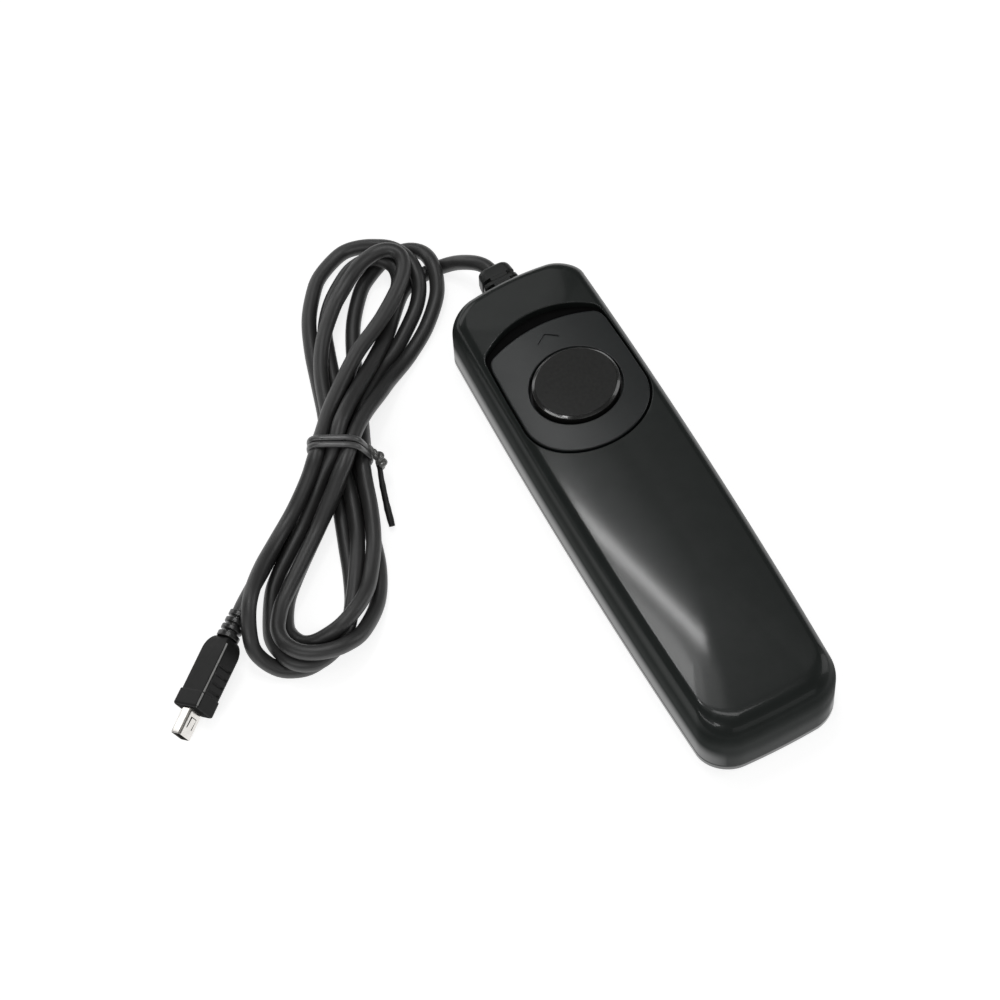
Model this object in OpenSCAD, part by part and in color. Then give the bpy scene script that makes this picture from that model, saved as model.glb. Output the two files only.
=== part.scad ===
// Wired two-stage shutter release: handset with a locking slide and push button,
// moulded cable boot, cable folded into a figure-eight hank, and a small camera plug.
// Origin: middle of the handset's underside. +Y towards the cable end, +Z up. Millimetres.

/* [Handset] */
// Length of the casing, without the cable boot
case_l = 104; // [100:1:110]
// Width of the casing at its waist
case_w = 29.6; // [29:0.2:31]
// Height of the casing to the crown of its top
case_h = 16; // [15.8:0.1:16.6]
// Wall thickness of the shells
wall = 1.8; // [1.6:0.1:1.9]
// How much narrower each side gets towards the ends, as a share of the half width
side_bulge = 0.075; // [0.05:0.005:0.09]

/* [Button and lock slide] */
// Distance from the cable end of the casing to the button's centre
button_setback = 27.9; // [27.5:0.1:28.5]
// Cap width across the casing
cap_w = 16.7; // [16:0.1:16.9]
// Cap length along the casing
cap_len = 15; // [14.6:0.1:15.2]
// Height of the cap above the crown of the casing
cap_proud = 1.1; // [0.8:0.1:1.4]
// Gap between the cap and its window
cap_gap = 0.45; // [0.4:0.05:0.5]
// Gap between the lock slide and its recess
slide_gap = 0.4; // [0.3:0.05:0.45]
// Full stroke of the button
press_travel = 1.5; // [1.3:0.1:1.5]

/* [Switch] */
// Thickness of the spring leaves
leaf_t = 0.3; // [0.25:0.05:0.3]
// Width of the spring leaves
leaf_w = 5; // [4.4:0.2:5]
// Height of the insulators between the leaves
spacer_t = 1.7; // [1.7:0.05:1.75]

/* [Cable and plug] */
// Diameter of the cable
cord_d = 2.9; // [2.8:0.1:3]
// Thickness of the folded hank
hank_t = 9.6; // [9.2:0.1:9.8]
// Width of the plug's grip
plug_w = 6; // [5.8:0.1:6.2]
// Height of the plug's grip
plug_h = 4.5; // [4.3:0.1:4.7]
// Roll of the plug about its own axis, in degrees
plug_roll = 32; // [28:1:33]

/* [Hidden] */

hl = case_l / 2;
hw = case_w / 2;
by = hl - button_setback;          // button centre
seam_z = 2.2;                      // joint between cover and shell
wall_top = case_h - 6.6;           // where the sides start to roll over
roll_h = 5.8;                      // height of the roll-over
roll_n = 2.5;                      // squareness of the roll-over
roll_side = 3;
roll_tail = 6.5;
roll_cable = 3;
crown_z = wall_top + roll_h * pow(sin(84), 2 / roll_n);
floor_z = case_h - 2.1;            // floor of the slide's recess
ceil_z = case_h - 3.1;             // ceiling of the inner space
cap_a = cap_w / 2;
cap_b = cap_len / 2;
win_a = cap_a + cap_gap;
win_b = cap_b + cap_gap;
fl_a = cap_a + 1.15;               // button flange
fl_b = cap_b + 1.2;
slide_travel = 1.6;

// ---- outline of the casing in plan ----
tail_r = 6.6;
head_r = 5.6;
tail_arch = 0.8;
head_arch = 1.8;
function half_w(y) = hw * (1 - side_bulge * pow(y / hl, 2));
wt = half_w(-hl + tail_r);
wh = half_w(hl - head_r);
right_half = concat(
    [for (i = [0:3]) let (x = (wt - tail_r) * i / 4) [x, -hl + tail_arch * pow(x / hw, 2)]],
    [for (i = [0:8]) let (a = -90 + 90 * i / 8, x = wt - tail_r + tail_r * cos(a))
        [x, -hl + tail_r + tail_r * sin(a) - tail_arch * pow(x / hw, 2) * sin(a)]],
    [for (i = [1:9]) let (y = -hl + tail_r + (case_l - tail_r - head_r) * i / 10) [half_w(y), y]],
    [for (i = [0:8]) let (a = 90 * i / 8, x = wh - head_r + head_r * cos(a))
        [x, hl - head_r + head_r * sin(a) - head_arch * pow(x / hw, 2) * sin(a)]],
    [for (i = [3:-1:0]) let (x = (wh - head_r) * i / 4) [x, hl - head_arch * pow(x / hw, 2)]]);
nr = len(right_half);
outline = concat(right_half, [for (i = [nr - 2:-1:1]) [-right_half[i][0], right_half[i][1]]]);
no = len(outline);

function shrunk(s, t, c) = [for (p = outline)
    [p[0] * (hw - s) / hw, p[1] * (p[1] > 0 ? (hl - c) / hl : (hl - t) / hl)]];
function ring(z, s, t, c) = [for (p = shrunk(s, t, c)) [p[0], p[1], z]];

// closed skin through a stack of rings that have n points each
module loft(rings) {
    n = len(rings[0]);
    m = len(rings);
    polyhedron(
        points = [for (r = rings) for (p = r) p],
        faces = concat(
            [[for (i = [0:n - 1]) i]],
            [for (k = [0:m - 2]) for (i = [0:n - 1]) let (j = (i + 1) % n)
                [k * n + i, (k + 1) * n + i, (k + 1) * n + j]],
            [for (k = [0:m - 2]) for (i = [0:n - 1]) let (j = (i + 1) % n)
                [k * n + i, (k + 1) * n + j, k * n + j]],
            [[for (i = [n - 1:-1:0]) (m - 1) * n + i]]),
        convexity = 6);
}

roll_a = [14, 28, 42, 55, 66, 76, 84];
function rx(a) = 1 - pow(cos(a), 2 / roll_n);
function rz(a) = wall_top + roll_h * pow(sin(a), 2 / roll_n);
in84 = roll_side * rx(84);
// outer skin of the upper casing with rolled edges and a softly crowned top
module casing_skin(z0) {
    loft(concat(
        [ring(z0, 0, 0, 0), ring(wall_top, 0, 0, 0)],
        [for (a = roll_a) ring(rz(a), roll_side * rx(a), roll_tail * rx(a), roll_cable * rx(a))],
        [for (u = [0.8, 0.6, 0.4, 0.2, 0.03])
            ring(crown_z + (case_h - crown_z) * (1 - u * u),
                hw - u * (hw - in84),
                roll_tail * rx(84) + (1 - u) * 2.2,
                roll_cable * rx(84) + (1 - u) * 1.4)]));
}

function oval(a, b, n = 60) = [for (i = [0:n - 1]) [a * cos(360 * i / n), b * sin(360 * i / n)]];

// outline of the lock slide, or of its recess when g and the top arc are larger
function arc_top(x0, pk, r, n = 8) = [for (i = [0:n]) let (x = x0 - 2 * x0 * i / n)
    [x, by + pk - (r - sqrt(r * r - x * x))]];
function slide_sides(g) = concat(
    [for (i = [0:16]) let (a = 180 + 180 * i / 16) [(12.4 + g) * cos(a), by - 3.6 + (9.9 + g) * sin(a)]],
    [[12.25 + g, by + 3.9], [11.95 + g, by + 10.4]]);
slide_outline = concat(slide_sides(0), [[11.65, by + 11.8]], arc_top(10.9, 14.6, 31),
    [[-11.65, by + 11.8], [-11.95, by + 10.4], [-12.25, by + 3.9]]);
recess_outline = concat(slide_sides(slide_gap), [[12.2, by + 12.4]], arc_top(11.7, 17.65, 19.5),
    [[-12.2, by + 12.4], [-11.95 - slide_gap, by + 10.4], [-12.25 - slide_gap, by + 3.9]]);

// ---- fasteners ----
case_screw_at = [[0, -hl + 11], [9, hl - 9.5], [-9, hl - 9.5]];
module screw(head_r, head_h, shaft_r, shaft_l) {
    difference() {
        union() {
            cylinder(r = head_r, h = head_h, $fn = 40);
            translate([0, 0, head_h]) cylinder(r = shaft_r, h = shaft_l, $fn = 32);
        }
        for (a = [0, 90]) rotate([0, 0, a])
            translate([-head_r * 0.62, -head_r * 0.14, -0.1])
                cube([head_r * 1.24, head_r * 0.28, head_h * 0.55 + 0.1]);
    }
}

// ---- casing ----
module top_shell() {
    color([0.13, 0.145, 0.15]) {
        difference() {
            casing_skin(seam_z);
            translate([0, 0, seam_z - 1]) linear_extrude(10.6 - seam_z + 1) polygon(shrunk(wall, wall, wall));
            translate([0, 0, 9]) linear_extrude(ceil_z - 9) polygon(shrunk(2.5, 3.6, 2.5));
            translate([0, 0, floor_z]) linear_extrude(6) polygon(recess_outline);
            // opening under the button, long enough for the slide's stroke
            translate([-fl_a - 0.4, by - fl_b - 0.9, ceil_z - 1])
                cube([2 * fl_a + 0.8, 2 * fl_b + 1.8 + slide_travel, 4]);
            // cable boot opening
            translate([0, hl - 5, 7.5]) rotate([-90, 0, 0]) linear_extrude(10)
                polygon([[-2.6, -1.5], [-1.9, -2.2], [1.9, -2.2], [2.6, -1.5], [2.6, 1.5], [1.9, 2.2], [-1.9, 2.2], [-2.6, 1.5]]);
        }
        for (p = case_screw_at) translate([p[0], p[1], 3.4]) difference() {
            cylinder(r = 2, h = ceil_z - 3.3, $fn = 40);
            translate([0, 0, -1]) cylinder(r = 1, h = 7.6, $fn = 32);
        }
    }
}

module bottom_cover() {
    color([0.12, 0.13, 0.135]) difference() {
        union() {
            loft([ring(0, 0.9, 0.9, 0.9), ring(0.15, 0.5, 0.5, 0.5), ring(0.45, 0.18, 0.18, 0.18),
                ring(0.9, 0, 0, 0), ring(seam_z, 0, 0, 0)]);
            translate([0, 0, seam_z - 0.2]) linear_extrude(2) polygon(shrunk(wall + 0.1, wall + 0.1, wall + 0.1));
        }
        difference() {
            translate([0, 0, 1.8]) linear_extrude(4) polygon(shrunk(wall + 1.1, wall + 1.1, wall + 1.1));
            for (p = case_screw_at) translate([p[0], p[1], 0]) cylinder(r = 2.7, h = 3.4, $fn = 40);
        }
        for (p = case_screw_at) translate([p[0], p[1], -1]) {
            cylinder(r = 2.2, h = 2.7, $fn = 40);
            cylinder(r = 1.1, h = 6, $fn = 32);
        }
    }
    // pedestal that carries the cable clamp
    color([0.12, 0.13, 0.135]) difference() {
        translate([-6, hl - 7.5, 1.7]) cube([12, 3, 5.75]);
        translate([0, hl - 8, 7.5]) rotate([-90, 0, 0]) cylinder(r = cord_d / 2 + 0.02, h = 4, $fn = 40);
        for (x = [-4.2, 4.2]) translate([x, hl - 6, 4.4]) cylinder(r = 0.8, h = 4, $fn = 28);
    }
    // pegs that locate the switch base
    color([0.12, 0.13, 0.135]) for (x = [-3.8, 3.8]) translate([x, -2.5, 1.7]) cylinder(r = 0.9, h = 2.7, $fn = 28);
}

module case_screws() {
    color([0.6, 0.6, 0.62]) for (p = case_screw_at) translate([p[0], p[1], 0.25]) screw(2, 1.35, 0.95, 7);
}

// ---- lock slide ----
leg_at = [for (x = [-8.4, 8.4]) for (y = [-8.2, 8.2]) [x, by + y]];
module lock_slide() {
    color([0.16, 0.175, 0.18]) difference() {
        intersection() {
            casing_skin(wall_top - 1);
            translate([0, 0, floor_z + 0.1]) linear_extrude(5) polygon(slide_outline);
        }
        translate([0, by, floor_z - 1]) linear_extrude(6) polygon(oval(win_a, win_b));
        // shallow arrow: push this way to lock
        translate([0, by + 11.1, case_h - 0.3]) linear_extrude(2)
            polygon([[-2.2, -0.7], [0, 0.8], [2.2, -0.7], [2.2, -0.2], [0, 1.3], [-2.2, -0.2]]);
    }
    color([0.16, 0.175, 0.18]) for (p = leg_at) translate([p[0], p[1], 0]) difference() {
        translate([-1, -1, ceil_z - 0.2]) cube([2, 2, floor_z + 0.5 - ceil_z]);
        translate([0, 0, ceil_z - 1]) cylinder(r = 0.55, h = 1.9, $fn = 28);
    }
}

module slide_frame() {
    color([0.75, 0.74, 0.7]) difference() {
        translate([-10.9, by - 11.6, ceil_z - 1.4]) cube([21.8, 23.2, 1.2]);
        translate([0, by, ceil_z - 2]) linear_extrude(3) polygon(oval(fl_a + 0.4, fl_b + 0.4));
        for (p = leg_at) translate([p[0], p[1], ceil_z - 2]) cylinder(r = 0.6, h = 3, $fn = 28);
    }
}

module frame_screws() {
    color([0.7, 0.68, 0.6]) for (p = leg_at) translate([p[0], p[1], ceil_z - 1.95]) screw(1, 0.55, 0.5, 2);
}

// bowed strip that rubs on the frame and keeps the slide where it is put
module slide_friction_spring() {
    color([0.8, 0.65, 0.35]) translate([0, 0, ceil_z - 1.3]) linear_extrude(1) polygon(concat(
        [for (i = [-8:8]) [-10.95 - 0.5 * pow(i / 8, 2), by + 0.8 + i]],
        [for (i = [8:-1:-8]) [-11.15 - 0.5 * pow(i / 8, 2), by + 0.8 + i]]));
}

// ---- button ----
stem_r = 2;
tip_z = 0.05;                      // clearance over the common leaf at rest
module shutter_button() {
    z1 = ceil_z + 0.05;
    ct = case_h + cap_proud;
    color([0.09, 0.095, 0.1]) {
        difference() {
            union() {
                translate([0, by, z1]) linear_extrude(0.8) polygon(oval(fl_a, fl_b));
                translate([0, by, 0]) loft([for (q = [[z1 + 0.4, 0], [ct - 0.9, 0], [ct - 0.55, 0.08], [ct - 0.28, 0.26],
                    [ct - 0.12, 0.52], [ct - 0.05, 0.9], [ct - 0.02, 3], [ct, 6]])
                    [for (p = oval(cap_a - q[1], cap_b - q[1])) [p[0], p[1], q[0]]]]);
            }
            translate([0, by, z1 - 1]) linear_extrude(ct - 1.3 - z1 + 1) polygon(oval(cap_a - 1.3, cap_b - 1.3));
        }
        // plunger stem and stiffening ribs
        translate([0, by, leaf_top + tip_z + stem_r]) cylinder(r = stem_r, h = ct - 1.2 - leaf_top - stem_r - tip_z, $fn = 48);
        translate([0, by, leaf_top + tip_z + stem_r]) sphere(r = stem_r, $fn = 32);
        for (a = [0, 90]) rotate([0, 0, 0]) translate([0, by, z1 + 0.4]) rotate([0, 0, a])
            translate([-6.1, -0.4, 0]) cube([12.2, 0.8, ct - 1.2 - z1 - 0.4]);
    }
}

// ---- two-stage contact stack ----
base_z = 5.6;
z_rel = base_z;
z_foc = z_rel + leaf_t + spacer_t;
z_com = z_foc + leaf_t + spacer_t;
leaf_top = z_com + leaf_t;
hinge_y = 1.8;
stud_y = by + 5.9;
stud_h = 0.35;
leaf_end = by + 8.4;

module blade(z, y0) {
    translate([-leaf_w / 2, y0, z]) cube([leaf_w, leaf_end - y0 - leaf_w / 2, leaf_t]);
    translate([0, leaf_end - leaf_w / 2, z]) intersection() {
        cylinder(r = leaf_w / 2, h = leaf_t, $fn = 40);
        translate([-leaf_w, 0, -1]) cube([2 * leaf_w, leaf_w, 3]);
    }
}
// rivet with a contact face below, above, or on both sides of its leaf
module contact(z, up, down) {
    color([0.85, 0.86, 0.88]) translate([0, stud_y, 0]) {
        translate([0, 0, z - (down ? stud_h : 0)]) cylinder(r = 0.6, h = leaf_t + (down ? stud_h : 0) + (up ? stud_h : 0), $fn = 28);
        if (down) translate([0, 0, z - stud_h]) cylinder(r = 1.1, h = stud_h, $fn = 36);
        if (up) translate([0, 0, z + leaf_t]) cylinder(r = 1.1, h = stud_h, $fn = 36);
    }
}
module rivet_hole(z) { translate([0, stud_y, z - 1]) cylinder(r = 0.6, h = 3, $fn = 28); }

module common_leaf() {
    color([0.82, 0.62, 0.3]) difference() { blade(z_com, hinge_y + 0.05); rivet_hole(z_com); }
}
module common_contact() { contact(z_com, false, true); }
module focus_leaf() {
    color([0.82, 0.62, 0.3]) difference() { blade(z_foc, hinge_y + 0.05); rivet_hole(z_foc); }
}
module focus_contact() { contact(z_foc, true, true); }
module screw_holes(r, z, h) { for (y = [-4.4, -0.4]) translate([0, y, z]) cylinder(r = r, h = h, $fn = 28); }
module release_leaf() {
    color([0.82, 0.62, 0.3]) difference() {
        union() { blade(z_rel, -6); translate([-3.3, -10, z_rel]) cube([2.2, 4.2, leaf_t]); }
        rivet_hole(z_rel);
        screw_holes(0.85, z_rel - 1, 3);
    }
}
module release_contact() { contact(z_rel, true, false); }
module terminal(z, x) {
    color([0.85, 0.68, 0.36]) difference() {
        union() {
            translate([-leaf_w / 2, -6, z]) cube([leaf_w, 6 + hinge_y - 0.05, leaf_t]);
            translate([x - 1.1, -10, z]) cube([2.2, 4.2, leaf_t]);
        }
        screw_holes(0.85, z - 1, 3);
    }
}
module common_terminal() { terminal(z_com, 1.4); }
module focus_terminal() { terminal(z_foc, 0); }
module leaf_insulators() {
    color([0.55, 0.3, 0.14]) for (z = [z_rel + leaf_t, z_foc + leaf_t]) difference() {
        translate([-2.8, -6, z]) cube([5.6, 7.4, spacer_t]);
        screw_holes(0.85, z - 1, 4);
    }
}
module clamp_plate() {
    color([0.7, 0.71, 0.72]) difference() {
        translate([-2.6, -6, leaf_top]) cube([5.2, 7.4, 0.8]);
        screw_holes(0.85, leaf_top - 1, 3);
    }
}
module stack_screws() {
    color([0.7, 0.71, 0.72]) for (y = [-4.4, -0.4]) translate([0, y, leaf_top + 1.6]) rotate([180, 0, 0]) screw(1.4, 0.8, 0.8, 7.4);
}
module switch_base() {
    color([0.2, 0.2, 0.21]) difference() {
        union() {
            translate([-5, -7.4, 1.8]) cube([10, 9.8, base_z - 1.8]);
            // rest that keeps the release leaf from bending down
            translate([-2, hinge_y, 1.8]) cube([4, leaf_end - hinge_y - 3, 1.2]);
            translate([-2, by - 2, 1.8]) cube([4, 4, base_z - 1.8]);
        }
        for (x = [-3.8, 3.8]) translate([x, -2.5, 0]) cylinder(r = 0.95, h = 4.5, $fn = 28);
        screw_holes(0.8, 2.8, 4);
    }
}

// ---- cable, clamp and boot ----
module cable_clamp() {
    color([0.2, 0.2, 0.21]) difference() {
        translate([-6, hl - 7.4, 7.55]) cube([12, 2.8, 2.05]);
        translate([0, hl - 8, 7.5]) rotate([-90, 0, 0]) cylinder(r = cord_d / 2 + 0.02, h = 4, $fn = 40);
        for (x = [-4.2, 4.2]) translate([x, hl - 6, 7]) cylinder(r = 0.9, h = 4, $fn = 28);
    }
}
module clamp_screws() {
    color([0.65, 0.65, 0.67]) for (x = [-4.2, 4.2]) translate([x, hl - 6, 10.4]) rotate([180, 0, 0]) screw(1.3, 0.8, 0.75, 4.8);
}
module slab(w, h, r, t) {
    linear_extrude(t) polygon([for (q = [[1, 1, 0], [-1, 1, 90], [-1, -1, 180], [1, -1, 270]]) for (i = [0:5])
        let (a = q[2] + 90 * i / 5) [q[0] * (w / 2 - r) + r * cos(a), q[1] * (h / 2 - r) + r * sin(a)]]);
}
boot_l = 5.8;
module cable_boot() {
    color([0.08, 0.08, 0.085]) translate([0, hl, 7.5]) rotate([-90, 0, 0]) difference() {
        union() {
            hull() {
                slab(7.4, 6.4, 1.4, 0.1);
                translate([0, 0, boot_l - 1.2]) slab(6.5, 5.6, 1.4, 0.1);
                translate([0, 0, boot_l - 0.1]) slab(4.9, 4.2, 1.2, 0.1);
            }
            translate([0, 0, -wall - 0.3]) slab(5, 4.2, 0.9, wall + 0.35);
            translate([0, 0, -wall - 1.5]) slab(7, 6, 1, 1.35);
        }
        translate([0, 0, -5]) cylinder(r = cord_d / 2 + 0.02, h = 14, $fn = 40);
        for (s = [-1, 1]) for (k = [0, 1])
            translate([s * 3.3, 0, 1.15 + 1.55 * k]) cube([k == 0 ? 2.6 : 2.3, 9, 0.75], center = true);
    }
}
module cable_inner_end() {
    color([0.06, 0.06, 0.065]) translate([0, hl - 8.5, 7.5]) rotate([-90, 0, 0]) cylinder(r = cord_d / 2, h = 8.5, $fn = 40);
}

// Catmull-Rom path and a tube swept along it
function cr(a, b, c, d, t) = 0.5 * (2 * b + (c - a) * t + (2 * a - 5 * b + 4 * c - d) * t * t + (3 * b - a - 3 * c + d) * t * t * t);
function smooth(P, n) = concat([for (i = [0:len(P) - 2]) for (k = [0:n - 1])
    cr(P[max(i - 1, 0)], P[i], P[i + 1], P[min(i + 2, len(P) - 1)], k / n)], [P[len(P) - 1]]);
function unit(v) = v / norm(v);
module tube(P, r, n, sides = 8) {
    Q = smooth(P, n);
    m = len(Q);
    T = [for (i = [0:m - 1]) unit(Q[min(i + 1, m - 1)] - Q[max(i - 1, 0)])];
    S = [for (t = T) unit(cross(t, [0.02, 0.03, 1]))];
    loft([for (i = [0:m - 1]) let (u = cross(S[i], T[i]))
        [for (k = [0:sides - 1]) Q[i] - r * (cos(360 * k / sides) * S[i] - sin(360 * k / sides) * u)]]);
}

ground_route = [[0.7, hl - 8.5, 7.9], [2, 40, 6.5], [6.5, 36, 4], [7.5, 28, 3], [7.5, 18, 3], [7.5, 8, 3], [7, -5, 3.6],
    [5, -11, 6.5], [2.8, -13.4, 9.4], [1.6, -12, 10.5], [1.4, -8.4, 10.5]];
focus_route = [[0, hl - 8.5, 6.8], [-1.5, 40, 4.5], [-5.2, 35.5, 3], [-6.2, 28, 2.7], [-6.2, 18, 2.7], [-6.2, 8, 2.7], [-6, -6, 3],
    [-4.2, -14.5, 5.5], [-1.2, -15.5, 7.8], [0, -12.5, 8.5], [0, -8.4, 8.5]];
release_route = [[-0.75, hl - 8.5, 7.9], [-3, 40, 7], [-7, 35.5, 4.4], [-7.6, 28, 3.2], [-7.6, 18, 3], [-7.6, 8, 3], [-7.4, -5, 3.6],
    [-5.8, -9.6, 5.2], [-3.8, -11.6, 6.4], [-2.5, -10.8, 6.5], [-2.2, -8.4, 6.5]];
module ground_wire() { color([0.75, 0.75, 0.72]) tube(ground_route, 0.5, 4); }
module focus_wire() { color([0.85, 0.8, 0.2]) tube(focus_route, 0.5, 4); }
module release_wire() { color([0.7, 0.1, 0.08]) tube(release_route, 0.5, 4); }
module solder_joints() {
    color([0.75, 0.76, 0.78]) for (q = [[-2.2, z_rel], [0, z_foc], [1.4, z_com]])
        translate([q[0], -8.4, q[1] + leaf_t]) intersection() {
            translate([0, 0, 0.2]) sphere(r = 0.95, $fn = 32);
            translate([-2, -2, 0]) cube([4, 4, 3]);
        }
}

// cable from the casing through the boot and down to the hank
lead_route = [[0, hl, 7.5], [0, hl + boot_l / 2, 7.5], [0, hl + boot_l, 7.5], [-0.2, 59.6, 7.4], [-0.8, 61.4, 6.8], [-1.8, 63.1, 5.7], [-3, 64.6, 4.3], [-4.2, 65.8, 3], [-5.6, 66.9, 2]];
module cable_lead() { color([0.07, 0.07, 0.075]) tube(lead_route, cord_d / 2, 4); }

hank_outline = [[-46, 44], [-43.5, 46.5], [-42, 49], [-41, 52], [-40, 55], [-39.5, 58], [-38.5, 61], [-37.5, 64], [-36.5, 67],
    [-35, 70], [-33, 73], [-31, 75.5], [-28, 78], [-24, 80], [-19, 81], [-14, 80], [-10, 77.5], [-7, 74], [-5.5, 70.5], [-5, 67],
    [-6, 63.5], [-8, 60.5], [-10, 58], [-12, 56], [-15, 53.5], [-18, 51.5], [-21, 50], [-25, 48], [-29, 46], [-32.5, 43.5],
    [-34.5, 40.5], [-35.5, 37.5], [-37, 34.5], [-39, 31], [-41, 26], [-42.5, 21.5], [-43.5, 18], [-44.5, 14.5], [-46, 11], [-48, 8],
    [-50.5, 5.5], [-53.5, 3.5], [-57, 2], [-61, 1], [-65, 0.5], [-69, 1], [-72.5, 3], [-75, 6.5], [-76, 10.3], [-75.2, 12.4],
    [-73, 14.3], [-70.8, 16.9], [-70, 20.8], [-68.5, 24], [-65, 27.5], [-61, 30.5], [-57, 33.5], [-53, 36.5], [-49, 40], [-47.5, 42]];
upper_eye = [[-26.5, 63.5], [-22, 64], [-18.5, 65.5], [-16.5, 67.5], [-16.5, 69.5], [-18.5, 70.5], [-21.5, 69.5], [-24.5, 67]];
lower_eye = [[-50, 26], [-53.5, 24], [-58, 20.5], [-62.5, 16.5], [-64.5, 14], [-65, 11.5], [-61, 9.5], [-57, 10], [-55, 12], [-53.5, 14.5], [-52, 17.5], [-50.5, 23]];
tie_at = [-41.5, 39, 5.3];
tie_turn = -35;
module tie_band(w, h, r, t) { translate(tie_at) rotate([0, 0, tie_turn]) translate([0, t / 2, 0]) rotate([90, 0, 0]) slab(w, h, r, t); }
module cable_hank() {
    color([0.07, 0.07, 0.075]) difference() {
        linear_extrude(hank_t) polygon(hank_outline);
        translate([0, 0, -1]) linear_extrude(hank_t + 2) polygon(upper_eye);
        translate([0, 0, -1]) linear_extrude(hank_t + 2) polygon(lower_eye);
        difference() {
            tie_band(18, 13, 1, 3);
            tie_band(11.2, 9.4, 1.6, 4);
        }
    }
}
module twist_tie() {
    color([0.15, 0.15, 0.155]) difference() {
        tie_band(12.6, 10.6, 2.4, 2.6);
        tie_band(11.3, 9.5, 1.6, 4);
    }
}
module tie_place(x, y, z) { translate([tie_at[0], tie_at[1], 0]) rotate([0, 0, tie_turn]) translate([x, y, z]) children(); }
module twist_tie_knot() { color([0.15, 0.15, 0.155]) tie_place(6.3, -0.3, 5) rotate([0, 90, 0]) cylinder(r = 1.2, h = 1.8, $fn = 32); }
tail_route = [[-35.9, 35, 4.8], [-36.6, 33.4, 4.5], [-37.6, 31.4, 3.9], [-38.5, 28.6, 2.9], [-39.1, 25.6, 1.9], [-39.6, 22.9, 0.9]];
module twist_tie_tail() { color([0.15, 0.15, 0.155]) tube(tail_route, 0.65, 4); }

// ---- plug ----
plug_at = [-73.78, 16.96, 6.25];
plug_turn = 217.65;
plug_pitch = 7;  // the collar rests on the table, the cable holds the other end up
module plug_place() { translate(plug_at) rotate([0, plug_pitch, plug_turn]) rotate([plug_roll, 0, 0]) children(); }
module cable_plug_lead() { color([0.07, 0.07, 0.075]) tube([plug_at, [-72.4, 18.05, 6.4], [-70.95, 19.2, 6.1]], cord_d / 2, 3); }
module plug_strain_relief() {
    color([0.08, 0.08, 0.085]) plug_place() rotate([0, 90, 0]) rotate_extrude($fn = 48)
        polygon([[0, 0], [1.75, 0], [1.85, 0.15], [1.85, 1.05], [1.45, 1.1], [1.45, 1.5], [1.95, 1.55], [1.95, 2.45], [1.5, 2.5], [1.5, 2.9],
            [2.05, 2.95], [2.05, 3.85], [1.55, 3.9], [1.55, 4.3], [2.15, 4.35], [2.15, 5.4], [0, 5.4]]);
}
function grip_half(w, w0) = [[5.4, w0], [5.8, w0 + (w - w0) * 0.42], [6.4, w0 + (w - w0) * 0.68], [7.2, w0 + (w - w0) * 0.88], [8.4, w],
    [16.9, w], [17.1, w + 0.2], [19.9, w + 0.2], [20.2, w]];
function grip_outline(w, w0) = let (g = grip_half(w, w0)) concat(g, [for (i = [len(g) - 1:-1:0]) [g[i][0], -g[i][1]]]);
module plug_grip() {
    color([0.1, 0.1, 0.105]) plug_place() difference() {
        intersection() {
            translate([0, 0, -5]) linear_extrude(10) polygon(grip_outline(plug_w / 2, 1.5));
            translate([0, 5, 0]) rotate([90, 0, 0]) linear_extrude(10) polygon(grip_outline(plug_h / 2, 1.3));
        }
        for (x = [11.2, 12.85, 14.5, 16.15]) for (s = [-1, 1])
            translate([x, s * plug_w / 2, 0]) cube([0.45, 0.5, plug_h - 0.9], center = true);
        translate([18.2, -1.25, -1.65]) cube([4, 2.5, 3.3]);
    }
}
module plug_shell() {
    color([0.85, 0.85, 0.86]) plug_place() difference() {
        translate([18.2, -1.25, -1.65]) cube([7.2, 2.5, 3.3]);
        translate([18.1, -1, -1.4]) cube([7.4, 2, 2.8]);
        // sprung latch tongues, cut on both wide sides
        for (s = [-1, 1]) translate([0, s * 1.1, 0]) {
            for (z = [-0.65, 0.65]) translate([22.6, 0, z]) cube([2.2, 0.8, 0.2], center = true);
            translate([21.6, 0, 0]) cube([0.2, 0.8, 1.5], center = true);
        }
    }
}
module plug_insulator() {
    color([0.1, 0.1, 0.1]) plug_place() {
        translate([18.2, -1, -1.4]) cube([1.2, 2, 2.8]);
        translate([19.2, -0.35, -1.1]) cube([5.4, 0.7, 2.2]);
    }
}
module plug_contacts() {
    color([0.85, 0.7, 0.3]) plug_place() for (z = [-0.75, -0.25, 0.25, 0.75])
        translate([19.5, 0.35, z - 0.13]) cube([4.8, 0.12, 0.26]);
}

top_shell();
bottom_cover();
case_screws();
lock_slide();
slide_frame();
frame_screws();
slide_friction_spring();
shutter_button();
common_leaf();
common_contact();
focus_leaf();
focus_contact();
release_leaf();
release_contact();
common_terminal();
focus_terminal();
leaf_insulators();
clamp_plate();
stack_screws();
switch_base();
cable_clamp();
clamp_screws();
cable_boot();
cable_inner_end();
ground_wire();
focus_wire();
release_wire();
solder_joints();
cable_lead();
cable_hank();
cable_plug_lead();
twist_tie();
twist_tie_knot();
twist_tie_tail();
plug_strain_relief();
plug_grip();
plug_shell();
plug_insulator();
plug_contacts();
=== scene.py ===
"""Looks of a wired shutter release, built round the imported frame. Lengths in this file are millimetres until a mesh is made."""

import math

import bpy
import numpy as np
from mathutils import Matrix, Vector
from mathutils.geometry import delaunay_2d_cdt


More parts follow.
